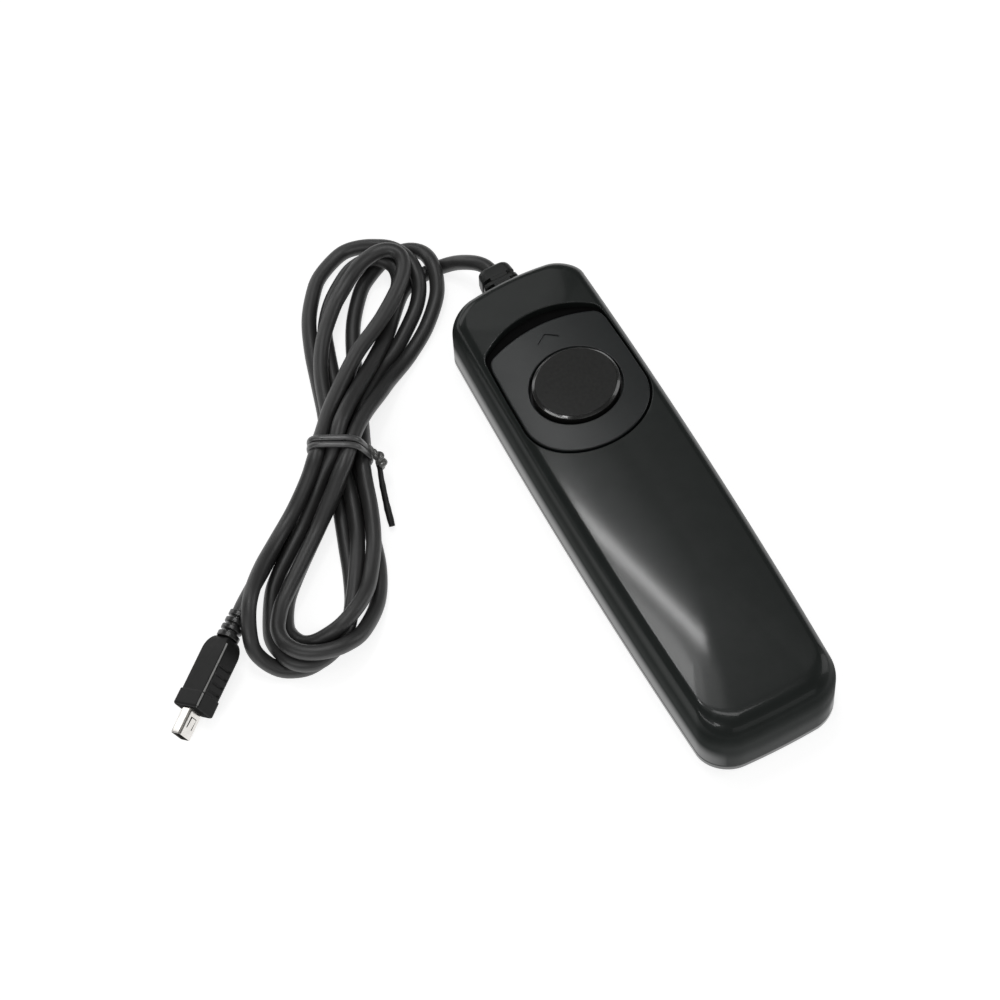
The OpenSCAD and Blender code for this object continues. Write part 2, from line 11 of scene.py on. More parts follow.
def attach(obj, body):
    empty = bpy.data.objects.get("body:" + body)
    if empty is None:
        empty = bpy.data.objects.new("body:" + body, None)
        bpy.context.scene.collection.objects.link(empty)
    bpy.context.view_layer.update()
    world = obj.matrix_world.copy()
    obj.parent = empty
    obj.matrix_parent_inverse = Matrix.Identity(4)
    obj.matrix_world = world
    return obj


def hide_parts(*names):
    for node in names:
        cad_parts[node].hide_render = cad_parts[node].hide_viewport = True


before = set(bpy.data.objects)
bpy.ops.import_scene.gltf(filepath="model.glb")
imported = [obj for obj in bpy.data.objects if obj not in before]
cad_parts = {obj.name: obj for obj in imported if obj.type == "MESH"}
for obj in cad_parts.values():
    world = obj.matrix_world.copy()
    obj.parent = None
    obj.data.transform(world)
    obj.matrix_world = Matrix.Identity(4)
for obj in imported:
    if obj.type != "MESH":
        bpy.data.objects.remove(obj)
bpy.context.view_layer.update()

PI = math.pi

# ------------------------------------------------------------------ mesh helpers


def unit(v):
    v = np.asarray(v, float)
    return v / np.maximum(np.linalg.norm(v, axis=-1, keepdims=True), 1e-12)


def face_normals(V, F):
    """Face normals, not normalised, of an (n, 3) or (n, 4) array of faces."""
    if F.shape[1] == 4:
        return np.cross(V[F[:, 2]] - V[F[:, 0]], V[F[:, 3]] - V[F[:, 1]])
    return np.cross(V[F[:, 1]] - V[F[:, 0]], V[F[:, 2]] - V[F[:, 0]])


def grid(P, close_rows=False, close_cols=False):
    """Quads of a grid of points P[row, column]."""
    m, n = P.shape[:2]
    I = np.arange(m * n).reshape(m, n)
    if close_rows:
        I = np.vstack([I, I[:1]])
    if close_cols:
        I = np.hstack([I, I[:, :1]])
    F = np.stack([I[:-1, :-1], I[1:, :-1], I[1:, 1:], I[:-1, 1:]], -1).reshape(-1, 4)
    return P.reshape(-1, 3), F


class Shape:
    """Strips of faces that share edges. Each strip keeps its own normals, so that the edges between strips stay crisp."""

    def __init__(self):
        self.parts = []

    def add(self, V, F, N=None, away=None, along=None):
        V = np.asarray(V, float).reshape(-1, 3)
        F = np.asarray(F, int)
        n = face_normals(V, F)
        if N is not None:
            N = unit(np.asarray(N, float).reshape(-1, 3))
            side = (n * N[F[:, 0]]).sum()
        elif away is not None:
            side = (n * (V[F].mean(1) - np.asarray(away, float))).sum()
        elif along is not None:
            side = (n @ np.asarray(along, float)).sum()
        else:
            side = 1
        if side < 0:
            F, n = F[:, ::-1], -n
        if N is None:
            N = np.zeros_like(V)
            for k in range(F.shape[1]):
                np.add.at(N, F[:, k], n)
            N = unit(N)
        self.parts.append((V, F, N, 0))
        return self

    def paint(self, k):
        """All strips so far take the piece's material number k."""
        self.parts = [(V, F, N, k) for V, F, N, _ in self.parts]
        return self

    def join(self, other):
        self.parts += other.parts
        return self

    def placed(self, M):
        """The same strips under a 4x4 placing matrix."""
        out = Shape()
        for V, F, N, k in self.parts:
            out.parts.append((V @ M[:3, :3].T + M[:3, 3], F, N @ M[:3, :3].T, k))
        return out

    def mesh(self, name):
        V = np.vstack([p[0] for p in self.parts])
        key, back = np.unique(np.round(V * 2000).astype(np.int64), axis=0, return_inverse=True)
        back = back.reshape(-1)
        where = np.zeros(len(key), int)
        where[back[::-1]] = np.arange(len(V))[::-1]
        faces, loops, paints, start = [], [], [], 0
        for v, F, N, paint in self.parts:
            for f in F:
                ids, ns = [], []
                for k in f:
                    g = int(back[start + k])
                    if g not in ids:
                        ids.append(g)
                        ns.append(N[k])
                if len(ids) > 2:
                    faces.append(ids)
                    loops += ns
                    paints.append(paint)
            start += len(v)
        me = bpy.data.meshes.new(name)
        me.from_pydata((V[where] / 1000).tolist(), [], faces)
        me.polygons.foreach_set("use_smooth", [True] * len(faces))
        me.polygons.foreach_set("material_index", paints)
        me.normals_split_custom_set([tuple(x) for x in loops])
        return me


PIECES = {}


def piece(name, shape, body, material, replaces=()):
    me = shape if isinstance(shape, bpy.types.Mesh) else shape.mesh(name)
    ob = bpy.data.objects.new(name, me)
    bpy.context.scene.collection.objects.link(ob)
    for m in material if isinstance(material, list) else [material]:
        me.materials.append(m)
    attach(ob, body)
    if replaces:
        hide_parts(*replaces)
    PIECES[name] = ob
    return ob


def in_loop(P, L):
    """Which points of P lie inside the closed plan loop L."""
    x, y = P[:, :1], P[:, 1:2]
    x0, y0 = L[:, 0][None], L[:, 1][None]
    x1, y1 = np.roll(L[:, 0], -1)[None], np.roll(L[:, 1], -1)[None]
    cross = (y0 > y) != (y1 > y)
    with np.errstate(divide="ignore", invalid="ignore"):
        at = (x1 - x0) * (y - y0) / (y1 - y0) + x0
    return (cross & (x < at)).sum(1) % 2 == 1


def far_from(P, L, d):
    """Which points of P are further than d from the closed loop L."""
    a, b = L, np.roll(L, -1, axis=0)
    e = b - a
    t = np.clip(((P[:, None] - a[None]) * e[None]).sum(-1) / np.maximum((e * e).sum(-1), 1e-12)[None], 0, 1)
    q = a[None] + t[..., None] * e[None]
    return np.sqrt(((P[:, None] - q) ** 2).sum(-1)).min(1) > d


def hexes(lo, hi, step):
    """Plan points on a triangular grid."""
    rows = np.arange(lo[1], hi[1], step * 0.866)
    out = [np.c_[np.arange(lo[0] + (k % 2) * step / 2, hi[0], step), np.full(len(np.arange(lo[0] + (k % 2) * step / 2, hi[0], step)), y)] for k, y in enumerate(rows)]
    return np.vstack(out)


def patch(outer, holes=(), extra=None):
    """Triangles that fill the plan loop outer, apart from the holes. Returns the plan points and the faces."""
    loops = [outer, *holes]
    pts, edges, at = [], [], 0
    for L in loops:
        n = len(L)
        pts.append(L)
        edges += [(at + i, at + (i + 1) % n) for i in range(n)]
        at += n
    if extra is not None and len(extra):
        pts.append(extra)
    P = np.vstack(pts)
    vs, _, fs, ids, _, _ = delaunay_2d_cdt([Vector(p) for p in P], edges, [], 0, 1e-7, True)
    back = np.array([i[0] if i else -1 for i in ids])
    Q = np.array([[v[0], v[1]] for v in vs])
    good = back >= 0
    Q[good] = P[back[good]]
    F = np.array([f for f in fs if len(f) == 3], int)
    mid = Q[F].mean(1)
    keep = in_loop(mid, outer)
    for h in holes:
        keep &= ~in_loop(mid, h)
    return Q, F[keep]


def loop_normals(L):
    """Outward plan normals of a loop that runs anticlockwise."""
    t = unit(np.roll(L, -1, axis=0) - np.roll(L, 1, axis=0))
    return np.c_[t[:, 1], -t[:, 0]]


def even(L, step, close=True):
    """The loop L with points about step apart."""
    Q = np.vstack([L, L[:1]]) if close else np.asarray(L, float)
    s = np.r_[0, np.cumsum(np.linalg.norm(np.diff(Q, axis=0), axis=1))]
    n = max(3, int(round(s[-1] / step)))
    t = np.linspace(0, s[-1], n, endpoint=not close) if close else np.linspace(0, s[-1], n + 1)
    return np.stack([np.interp(t, s, Q[:, k]) for k in range(Q.shape[1])], 1)


def rounded(w, h, r, n=6):
    """Anticlockwise plan loop of a w by h rectangle with corner radius r."""
    out = []
    for cx, cy, a0 in ((1, 1, 0), (-1, 1, 90), (-1, -1, 180), (1, -1, 270)):
        for k in range(n + 1):
            a = math.radians(a0 + 90 * k / n)
            out.append((cx * (w / 2 - r) + r * math.cos(a), cy * (h / 2 - r) + r * math.sin(a)))
    return np.array(out, float)


def at_z(L, z):
    return np.c_[L, np.full(len(L), z) if np.isscalar(z) else z]


def lathe(profile, n=48, crease=30):
    """A turned shape about Z, from (radius, z) pairs that run round it anticlockwise. Corners sharper than crease degrees stay crisp."""
    out = Shape()
    pr = np.array(profile, float)
    runs, start = [], 0
    for i in range(1, len(pr) - 1):
        a, b = unit(pr[i] - pr[i - 1]), unit(pr[i + 1] - pr[i])
        if math.degrees(math.acos(max(-1, min(1, float(a @ b))))) > crease:
            runs.append(pr[start : i + 1])
            start = i
    runs.append(pr[start:])
    t = np.linspace(0, 2 * PI, n, endpoint=False)
    for q in runs:
        P = np.stack([q[:, 0][:, None] * np.cos(t), q[:, 0][:, None] * np.sin(t), np.repeat(q[:, 1][:, None], n, 1)], -1)
        d = np.gradient(q, axis=0)
        nn = unit(np.c_[d[:, 1], -d[:, 0]])
        N = np.stack([nn[:, 0][:, None] * np.cos(t), nn[:, 0][:, None] * np.sin(t), np.repeat(nn[:, 1][:, None], n, 1)], -1)
        V, F = grid(P, close_cols=True)
        out.add(V, F, N)
    return out


def cap(L3, along):
    """A flat face on a closed loop of points, as a fan round its middle."""
    L3 = np.asarray(L3, float)
    n = len(L3)
    V = np.vstack([L3, L3.mean(0)])
    F = np.array([[i, (i + 1) % n, n] for i in range(n)])
    return Shape().add(V, F, np.repeat([along], n + 1, 0))


def skin(rings, crease=(), flip=True):
    """The sides of a shape through rings of points, which run anticlockwise as seen from where the rings go. crease lists the rings where it turns sharply."""
    P = np.asarray(rings, float)
    out = Shape()
    cuts = [0, *crease, len(P) - 1]
    for a, b in zip(cuts[:-1], cuts[1:]):
        V, F = grid(P[a : b + 1], close_cols=True)
        out.add(V, F[:, ::-1] if flip else F)
    return out


def frames(P, up):
    """Two unit vectors across the path P at each point, turned as little as possible."""
    T = unit(np.gradient(P, axis=0))
    A = np.zeros_like(P)
    a = np.asarray(up, float)
    for i in range(len(P)):
        a = unit(a - (a @ T[i]) * T[i])
        A[i] = a
    return T, A, np.cross(T, A)


def sweep(P, radius, sides=16, up=(0, 0, 1), squash=1.0, ends=True, A=None, B=None, round_end=0.0):
    """A tube along P. radius may change along it; squash is its thickness across over its width."""
    P = np.asarray(P, float)
    T, a, b = frames(P, up)
    if A is not None:
        a, b = A, B
    r = np.full(len(P), radius) if np.isscalar(radius) else np.asarray(radius, float)
    t = np.linspace(0, 2 * PI, sides, endpoint=False)
    ring = lambda i, s=1.0, d=0.0: P[i] + d * T[i] + s * r[i] * (np.cos(t)[:, None] * a[i] * squash + np.sin(t)[:, None] * b[i])
    rings = [ring(i) for i in range(len(P))]
    if round_end:
        q = [(math.sin(x), math.cos(x)) for x in np.linspace(PI / 2 - 0.3, 0.15, 4)]
        rings = [ring(0, s, -round_end * c) for s, c in q[::-1]] + rings + [ring(len(P) - 1, s, round_end * c) for s, c in q]
    R = np.array(rings)
    V, F = grid(R, close_cols=True)
    out = Shape()
    c = R.mean(1, keepdims=True)
    N = np.cross(np.roll(R, -1, 1) - np.roll(R, 1, 1), np.gradient(R, axis=0))
    N = unit(N)
    N *= np.sign((N * (R - c)).sum(-1, keepdims=True) + 1e-12)
    out.add(V, F, N)
    if ends:
        out.join(cap(R[0], -T[0])).join(cap(R[-1], T[-1]))
    return out


def catmull(K, step):
    """A smooth curve through the points K, with points step apart."""
    K = np.asarray(K, float)
    A = np.vstack([2 * K[0] - K[1], K, 2 * K[-1] - K[-2]])
    t = np.linspace(0, 1, 12, endpoint=False)[:, None]
    out = []
    for i in range(1, len(A) - 2):
        p, q, r, s = A[i - 1 : i + 3]
        out.append(0.5 * (2 * q + (r - p) * t + (2 * p - 5 * q + 4 * r - s) * t**2 + (3 * q - p - 3 * r + s) * t**3))
    return even(np.vstack(out + [K[-1:]]), step, close=False)


def place(at, turn=0.0, roll=0.0, pitch=0.0):
    """Placing matrix: turned about Z, pitched down, then rolled about its own X, at the point at."""
    c, s, d, e = math.cos(turn), math.sin(turn), math.cos(roll), math.sin(roll)
    f, g = math.cos(pitch), math.sin(pitch)
    M = np.eye(4)
    M[:3, :3] = (np.array([[c, -s, 0], [s, c, 0], [0, 0, 1]]) @ np.array([[f, 0, g], [0, 1, 0], [-g, 0, f]])
        @ np.array([[1, 0, 0], [0, d, -e], [0, e, d]]))
    M[:3, 3] = at
    return M


ALONG_Y = np.array([[1, 0, 0, 0], [0, 0, 1, 0], [0, -1, 0, 0], [0, 0, 0, 1]], float)  # Z becomes +Y
ALONG_X = np.array([[0, 0, 1, 0], [0, 1, 0, 0], [-1, 0, 0, 0], [0, 0, 0, 1]], float)  # Z becomes +X

# ------------------------------------------------------------------ cable

CORD_D = 2.9
# The way the cable lies, from the handset through the hank to the plug.
ROUTE = (
    (0, 54.6, 7.5), (0, 56.4, 7.5), (0, 58.2, 7.5), (-0.7, 60.1, 7.5), (-2.2, 62.5, 6.1), (-4.1, 65.1, 3.7),
    (-6, 66.4, 2.2), (-7.7, 67, 1.4), (-9.7, 67, 1.4), (-12.7, 66.7, 1.4), (-15.9, 65.2, 1.4), (-20.1, 60.9, 1.6),
    (-22.2, 58.5, 2.1), (-25.4, 55.4, 3.6), (-31, 50.4, 5.7), (-36.6, 45.4, 8.3), (-38.8, 43.2, 9.2),
    (-40.2, 41.9, 9.6), (-41.5, 40.5, 9.4), (-42, 39.9, 9.2), (-43.4, 38.4, 9.1), (-44.6, 37.2, 8.4),
    (-46, 36.4, 7.3), (-48.2, 35, 5.8), (-50.8, 32.9, 3.9), (-55.9, 28.9, 1.8), (-61.4, 24.6, 1.4),
    (-63.7, 22.6, 1.4), (-66.4, 19.6, 1.4), (-70, 12.8, 2.3), (-70.7, 9.6, 3.1), (-70.2, 5.6, 4.1), (-69.8, 4.7, 4.3),
    (-68.6, 3.2, 4.3), (-65, 2.1, 4.2), (-59, 4.4, 4.2), (-54.5, 9.8, 4.3), (-50.5, 16.1, 4), (-47.1, 22.6, 3.2),
    (-44.8, 29, 3.1), (-44.1, 31.8, 3.2), (-43.3, 35.4, 3.5), (-42.6, 38.2, 3.7), (-41.7, 42.1, 4.1),
    (-41.1, 45, 4.3), (-40, 49, 4.3), (-37.6, 55.9, 4.2), (-34.1, 61.9, 4.3), (-28.9, 67.6, 4.1), (-26.4, 69.5, 4.2),
    (-23, 71.6, 4.9), (-20.3, 72.6, 5.8), (-16.6, 72.8, 7), (-15.7, 72.7, 7.1), (-14, 72, 7.1), (-12.9, 70.5, 7.1),
    (-13, 68.8, 7.1), (-14.5, 66.1, 7.1), (-17.7, 63, 7.1), (-23.7, 58.6, 7.1), (-29.9, 55.1, 7), (-35.3, 50.8, 7.3),
    (-40.8, 45.6, 8.1), (-42.9, 43.2, 8.5), (-45.9, 39.9, 9.2), (-48, 37.5, 9.2), (-50.4, 35.2, 7.7),
    (-55.4, 31.8, 5), (-61.1, 27.8, 4.6), (-66.9, 22.7, 6.6), (-71.9, 16.7, 8.4), (-74.5, 11.2, 6.3), (-74.4, 8.8, 4),
    (-72.5, 6, 2.2), (-70.2, 4.4, 1.4), (-66.4, 3.2, 1.4), (-59.7, 4.9, 1.4), (-54.9, 9.8, 1.4), (-51.9, 16, 1.4),
    (-49.6, 22.6, 1.4), (-47.3, 29.2, 1.4), (-46.4, 32.1, 1.4), (-45.5, 35.9, 1.7), (-45.3, 36.9, 1.8),
    (-45, 38.6, 2.2), (-43.6, 42.5, 2), (-42.9, 43.4, 1.8), (-41.9, 45.4, 1.5), (-40.5, 49, 1.4), (-38.5, 55.8, 1.4),
    (-36.5, 62.4, 1.4), (-33.7, 69, 1.4), (-29.6, 74.6, 1.4), (-27.3, 76.5, 1.4), (-23.7, 78.2, 1.6),
    (-20.8, 78.7, 2), (-17.4, 77.2, 3), (-15.3, 75.4, 3.8), (-13.8, 74, 4.4), (-12.7, 72.4, 4.5), (-11.7, 69.6, 4.6),
    (-11.9, 65.7, 4.1), (-13, 63.1, 3.2), (-15.5, 60.2, 2.2), (-21, 55.9, 1.4), (-23.4, 54.2, 1.4), (-27, 52.2, 1.8),
    (-32.7, 47.2, 4), (-35, 45, 4.6), (-37.6, 41.8, 5.3), (-42.1, 35.9, 6.3), (-44.2, 33.9, 6.1), (-46.8, 31.6, 4.8),
    (-52, 28.1, 2.3), (-57.4, 23.8, 1.4), (-62.7, 19, 1.4), (-64.6, 16.8, 1.4), (-66.4, 13.7, 1.6), (-67.1, 11.1, 2),
    (-66.2, 7.6, 3.3), (-64.1, 5.9, 4.7), (-60.5, 5.2, 6.6), (-57.7, 5.8, 7.2), (-54.1, 7.8, 6.8), (-51.7, 9.8, 6),
    (-49.1, 13.1, 5), (-45.4, 19, 4.3), (-42.8, 25.2, 4.3), (-41, 31, 4.6), (-40.1, 33.5, 4.7), (-39.5, 35.4, 4.7),
    (-38.3, 37, 4.2), (-36.9, 40.2, 2.9), (-35.1, 44.4, 1.7), (-34.1, 47.4, 1.4), (-32.5, 51.1, 1.4),
    (-30, 57.6, 1.4), (-26.8, 63.9, 1.4), (-22.5, 69.4, 1.4), (-20.2, 71.2, 1.4), (-16.6, 73.1, 1.4),
    (-13.6, 73.9, 1.5), (-10.2, 72.7, 2.5), (-8.5, 70.5, 3.4), (-8.1, 68.6, 3.9), (-8.2, 66.5, 4.3),
    (-8.3, 65.7, 4.1), (-8.8, 63.9, 3.7), (-10.6, 60.6, 2.7), (-15.6, 55.9, 1.5), (-21.3, 52.1, 1.5),
    (-27.2, 48.5, 3.3), (-29.6, 46.6, 4.6), (-32.9, 44.1, 6.3), (-35.3, 42.2, 7.4), (-38.3, 39.5, 8.5),
    (-40.4, 37.2, 9), (-43.3, 34.2, 9.1), (-45.5, 32.4, 8.5), (-48.3, 30.1, 7), (-53.3, 26.2, 4.8),
    (-58.7, 21.8, 4.3), (-64.2, 17.3, 4.3), (-66.5, 15.2, 4.6), (-68.8, 11.8, 5.3), (-69.2, 10.8, 5.5),
    (-69.5, 8.8, 6), (-69.2, 6.7, 6.6), (-68.3, 4.9, 6.9), (-66, 3, 7.1), (-62.3, 1.9, 6.9), (-59.3, 2, 6.4),
    (-55.7, 3.4, 4.9), (-50.2, 8.5, 2.2), (-46.6, 14.8, 1.4), (-44.6, 21.3, 1.4), (-42.6, 28.1, 1.4),
    (-40.9, 34.6, 2), (-40.3, 37.4, 2.2), (-39.5, 41.5, 1.9), (-37.5, 48.4, 1.5), (-35.6, 55.2, 1.4),
    (-33.5, 61.9, 1.4), (-32.4, 64.9, 1.4), (-30, 68.4, 1.4), (-27.8, 70.7, 1.6), (-24.5, 73, 2.1),
    (-21.9, 74.1, 2.9), (-18.4, 73.9, 3.9), (-17.5, 73.5, 4.2), (-16.1, 72.2, 4.2), (-15, 70.7, 4.3),
    (-14.8, 68.7, 4.3), (-15.9, 65.8, 4.3), (-18.9, 62.8, 4.3), (-25.1, 58.9, 4.4), (-30.8, 55.4, 4.3),
    (-35, 51, 4.2), (-36.5, 48.9, 4.7), (-38.4, 45.4, 5.8), (-40.1, 42.8, 6.7), (-42.7, 39.8, 6.4), (-45, 38.3, 5.4),
    (-48.1, 36.8, 3.5), (-53.9, 33.7, 1.7), (-59.7, 29.5, 1.6), (-65.5, 24.6, 3.1), (-69.3, 21.1, 5.1), (-72.1, 18.5, 6.2),
    (-73.8, 17, 6.3), (-74.2, 16.6, 6.2),
)
TIE_AT = np.array([-42.1, 38.65])
TIE_U = np.array([math.cos(math.radians(-28)), math.sin(math.radians(-28))])  # across the bundle
TIE_V = np.array([-TIE_U[1], TIE_U[0]])  # along the bundle
TIE_SHIFT = -1.2  # the tie has slid a little towards the plug


def soften(a, sigma):
    r = int(3 * sigma) + 1
    k = np.exp(-0.5 * (np.arange(-r, r + 1) / sigma) ** 2)
    k /= k.sum()
    p = np.pad(a, ((r, r), (0, 0)), mode="edge")
    return np.stack([np.convolve(p[:, j], k, "valid") for j in range(a.shape[1])], 1)


def close_pairs(X, reach, skip):
    D = ((X[:, None, :] - X[None, :, :]) ** 2).sum(-1)
    return np.nonzero(np.triu(D < reach * reach, skip))


def squeeze(X):
    """The tie holds the strands together, on top of its own band."""
    r, half = CORD_D / 2, 1.4
    q = X[:, :2] - TIE_AT
    u, v = q @ TIE_U, q @ TIE_V - TIE_SHIFT
    w = np.clip(1 - (np.abs(v) - half) / 6, 0, 1) * (np.abs(u) < 8.5)
    lim = 5.5 - r + (1 - w) * 3.5
    X[:, :2] += ((np.clip(u, -lim, lim) - u) * (w > 0))[:, None] * TIE_U
    low = r + 0.75 * np.clip(1 - (np.abs(v) - half) / 4, 0, 1)
    X[:, 2] = np.where(w > 0, np.minimum(np.maximum(X[:, 2], low), 10.6 - r + (1 - w) * 3), X[:, 2])


def settle(K, rounds):
    """Relaxes the route: strands rest on the floor and on each other, keep their stiffness and don't pass through."""
    X = catmull(K, 1.0)
    T, n, r = X.copy(), len(X), CORD_D / 2
    for it in range(rounds):
        if it % 10 == 0:
            I, J = close_pairs(X, CORD_D + 1.2, 6)
        last = it > 0.7 * rounds
        X[:, :2] += 0.05 * (T[:, :2] - X[:, :2])
        X[:, 2] += 0.02 * (T[:, 2] - X[:, 2]) - (0.004 if last else 0.01)
        D = X - T
        X = T + 0.5 * D + 0.5 * soften(D, 1.6)
        d1 = np.diff(X, axis=0)
        c = np.linalg.norm(np.cross(d1[:-1], d1[1:]), axis=1) / np.maximum(np.linalg.norm(d1[:-1], axis=1) ** 3, 1e-9)
        w = soften((np.clip(np.r_[0, c, 0] * 4.0 - 1, 0, 1) * 0.4)[:, None], 2.0)
        M = X.copy()
        M[2:-2] = 0.25 * (X[:-4] + X[4:]) + 0.25 * (X[1:-3] + X[3:-1])
        X = X + w * (M - X)
        for _ in range(8 if last else 4):
            v = X[I] - X[J]
            L = np.linalg.norm(v, axis=1)
            m = L < CORD_D
            if m.any():
                a, b, dd = I[m], J[m], v[m] / np.maximum(L[m], 1e-6)[:, None]
                push = unit(dd * np.array([0.7, 0.7, 1.0]))
                step = ((CORD_D - L[m]) * 0.3 / np.maximum((push * dd).sum(1), 0.3))[:, None] * push
                C, count = np.zeros_like(X), np.zeros(n)
                np.add.at(C, a, step)
                np.add.at(C, b, -step)
                np.add.at(count, a, 1)
                np.add.at(count, b, 1)
                X += C / (np.maximum(count, 1) ** 0.6)[:, None]
            X[:, 2] = np.maximum(X[:, 2], r)
            squeeze(X)
        X[:3], X[-3:] = T[:3], T[-3:]
    return X


LINE = settle(ROUTE, 140)

# ------------------------------------------------------------------ casing

HL, HW, BY = 52.0, 14.8, 24.1  # half length, half width, middle of the button
SEAM, WALL_TOP, ROLL_H, TOP = 2.2, 9.4, 5.8, 16.0
FLOOR, CEIL = 13.9, 12.9
TAIL_R, HEAD_R, TAIL_ARCH, HEAD_ARCH = 6.6, 5.6, 0.8, 1.8
ROLL_X, ROLL_TAIL, ROLL_HEAD = 3.0, 6.5, 3.0


def half_w(y):
    return HW * (1 - 0.075 * (y / HL) ** 2)


def casing_outline():
    wt, wh = half_w(-HL + TAIL_R), half_w(HL - HEAD_R)
    out = []
    x = np.linspace(0, wt - TAIL_R, 17)[:-1]
    out.append(np.c_[x, -HL + TAIL_ARCH * (x / HW) ** 2])
    a = np.radians(np.linspace(-90, 0, 37))
    x = wt - TAIL_R + TAIL_R * np.cos(a)
    out.append(np.c_[x, -HL + TAIL_R + TAIL_R * np.sin(a) - TAIL_ARCH * (x / HW) ** 2 * np.sin(a)])
    y = np.linspace(-HL + TAIL_R, HL - HEAD_R, 190)[1:-1]
    out.append(np.c_[half_w(y), y])
    a = np.radians(np.linspace(0, 90, 33))
    x = wh - HEAD_R + HEAD_R * np.cos(a)
    out.append(np.c_[x, HL - HEAD_R + HEAD_R * np.sin(a) - HEAD_ARCH * (x / HW) ** 2 * np.sin(a)])
    x = np.linspace(wh - HEAD_R, 0, 17)[1:]
    out.append(np.c_[x, HL - HEAD_ARCH * (x / HW) ** 2])
    R = np.vstack(out)
    return np.vstack([R, R[-2:0:-1] * [-1, 1]])


OUT = casing_outline()
_t = np.arctan2(OUT[:, 1], OUT[:, 0])
_o = np.argsort(_t)
_T = np.r_[_t[_o][-1] - 2 * PI, _t[_o], _t[_o][0] + 2 * PI]
_R = np.hypot(OUT[:, 0], OUT[:, 1])[_o]
_R = np.r_[_R[-1], _R, _R[0]]


def shrunk(L, s, t, c):
    return L * np.c_[np.full(len(L), (HW - s) / HW), np.where(L[:, 1] > 0, (HL - c) / HL, (HL - t) / HL)]


def roll_z(p):
    return WALL_TOP + ROLL_H * (1 - (1 - p) ** 2.5) ** 0.4


P84 = 1 - math.cos(math.radians(84)) ** 0.8
CROWN_Z = float(roll_z(P84))
T_TAIL, T_HEAD = 27.0, 12.8  # how far the crown fades out towards the two ends


def inside(x, y, sx, sy):
    X, Y = x / np.maximum(sx, 1e-9), y / np.maximum(sy, 1e-9)
    return np.hypot(X, Y) < np.interp(np.arctan2(Y, X), _T, _R)


def height(x, y):
    """Height of the casing's skin over a point in plan."""
    x, y = np.asarray(x, float), np.asarray(y, float)
    lo, hi = np.zeros_like(x), np.ones_like(x) * P84
    head = y > 0
    for _ in range(34):
        m = (lo + hi) / 2
        ok = inside(x, y, (HW - ROLL_X * m) / HW, np.where(head, HL - ROLL_HEAD * m, HL - ROLL_TAIL * m) / HL)
        lo, hi = np.where(ok, m, lo), np.where(ok, hi, m)
    p = (lo + hi) / 2
    z = roll_z(p)
    lo, hi = np.zeros_like(x), np.ones_like(x)
    for _ in range(34):
        u = (lo + hi) / 2
        ok = inside(x, y, u * (HW - ROLL_X * P84) / HW,
            np.where(head, HL - ROLL_HEAD * P84 - (1 - u) * T_HEAD, HL - ROLL_TAIL * P84 - (1 - u) * T_TAIL) / HL)
        hi, lo = np.where(ok, u, hi), np.where(ok, lo, u)
    u = (lo + hi) / 2
    return np.where(p > P84 - 1e-5, CROWN_Z + (TOP - CROWN_Z) * (1 - u * u), z)


def height_normal(P):
    e = 0.06
    hx = (height(P[:, 0] + e, P[:, 1]) - height(P[:, 0] - e, P[:, 1])) / (2 * e)
    hy = (height(P[:, 0], P[:, 1] + e) - height(P[:, 0], P[:, 1] - e)) / (2 * e)
    return unit(np.c_[-hx, -hy, np.ones(len(P))])


def lift(P):
    return np.c_[P[:, :2], height(P[:, 0], P[:, 1])]


def arc_top(x0, pk, r, n=40):
    x = np.linspace(x0, -x0, n + 1)
    return np.c_[x, BY + pk - (r - np.sqrt(r * r - x * x))]


def fillet_corners(L, r, n=5):
    """Rounds the sharper corners of a loop."""
    out = []
    for i in range(len(L)):
        a, p, b = L[i - 1], L[i], L[(i + 1) % len(L)]
        u, v = unit(a - p), unit(b - p)
        ang = math.acos(max(-1, min(1, float(-u @ v))))
        if ang < 0.22:
            out.append(p)
            continue
        d = min(r * math.tan(ang / 2), 0.45 * np.linalg.norm(a - p), 0.45 * np.linalg.norm(b - p))
        s, e = p + u * d, p + v * d
        for k in range(n + 1):
            t = k / n
            out.append((1 - t) ** 2 * s + 2 * t * (1 - t) * p + t * t * e)
    return np.array(out)


def slide_loop(g, shoulder, top):
    a = np.radians(np.linspace(180, 360, 65))
    low = np.c_[(12.4 + g) * np.cos(a), BY - 3.6 + (9.9 + g) * np.sin(a)]
    right = [[12.25 + g, BY + 3.9], [11.95 + g, BY + 10.4], [shoulder, BY + (11.8 if g == 0 else 12.4)]]
    L = np.vstack([low, right, top, [[-x, y] for x, y in right[::-1]]])
    return even(fillet_corners(L, 1.6), 0.55)


SLIDE = slide_loop(0.0, 11.65, arc_top(10.9, 14.6, 31))
RECESS = slide_loop(0.4, 12.2, arc_top(11.7, 17.65, 19.5))


def oval(a, b, n=150):
    t = np.linspace(0, 2 * PI, n, endpoint=False)
    return np.c_[a * np.cos(t), BY + b * np.sin(t)]


def edge_strip(L, out, r, z_to, n=4):
    """Rounded edge of the skin along the loop L, and the wall below it down to z_to. The solid lies on the side out (+1 outside L, -1 inside)."""
    N2 = loop_normals(L) * out
    rows, norms = [], []
    for k in range(n + 1):
        a = PI / 2 * k / n
        P = L + N2 * r * (1 - math.sin(a))
        S = height_normal(P)
        rows.append(np.c_[P, height(P[:, 0], P[:, 1]) - r * (1 - math.cos(a))])
        norms.append(unit(math.cos(a) * S + math.sin(a) * np.c_[-N2, np.zeros(len(L))]))
    sh = Shape()
    V, F = grid(np.array(rows), close_cols=True)
    sh.add(V, F, np.array(norms))
    side = np.c_[-N2, np.zeros(len(L))]
    V, F = grid(np.array([rows[-1], at_z(L, z_to)]), close_cols=True)
    sh.add(V, F, np.array([side, side]))
    return sh, L + N2 * r


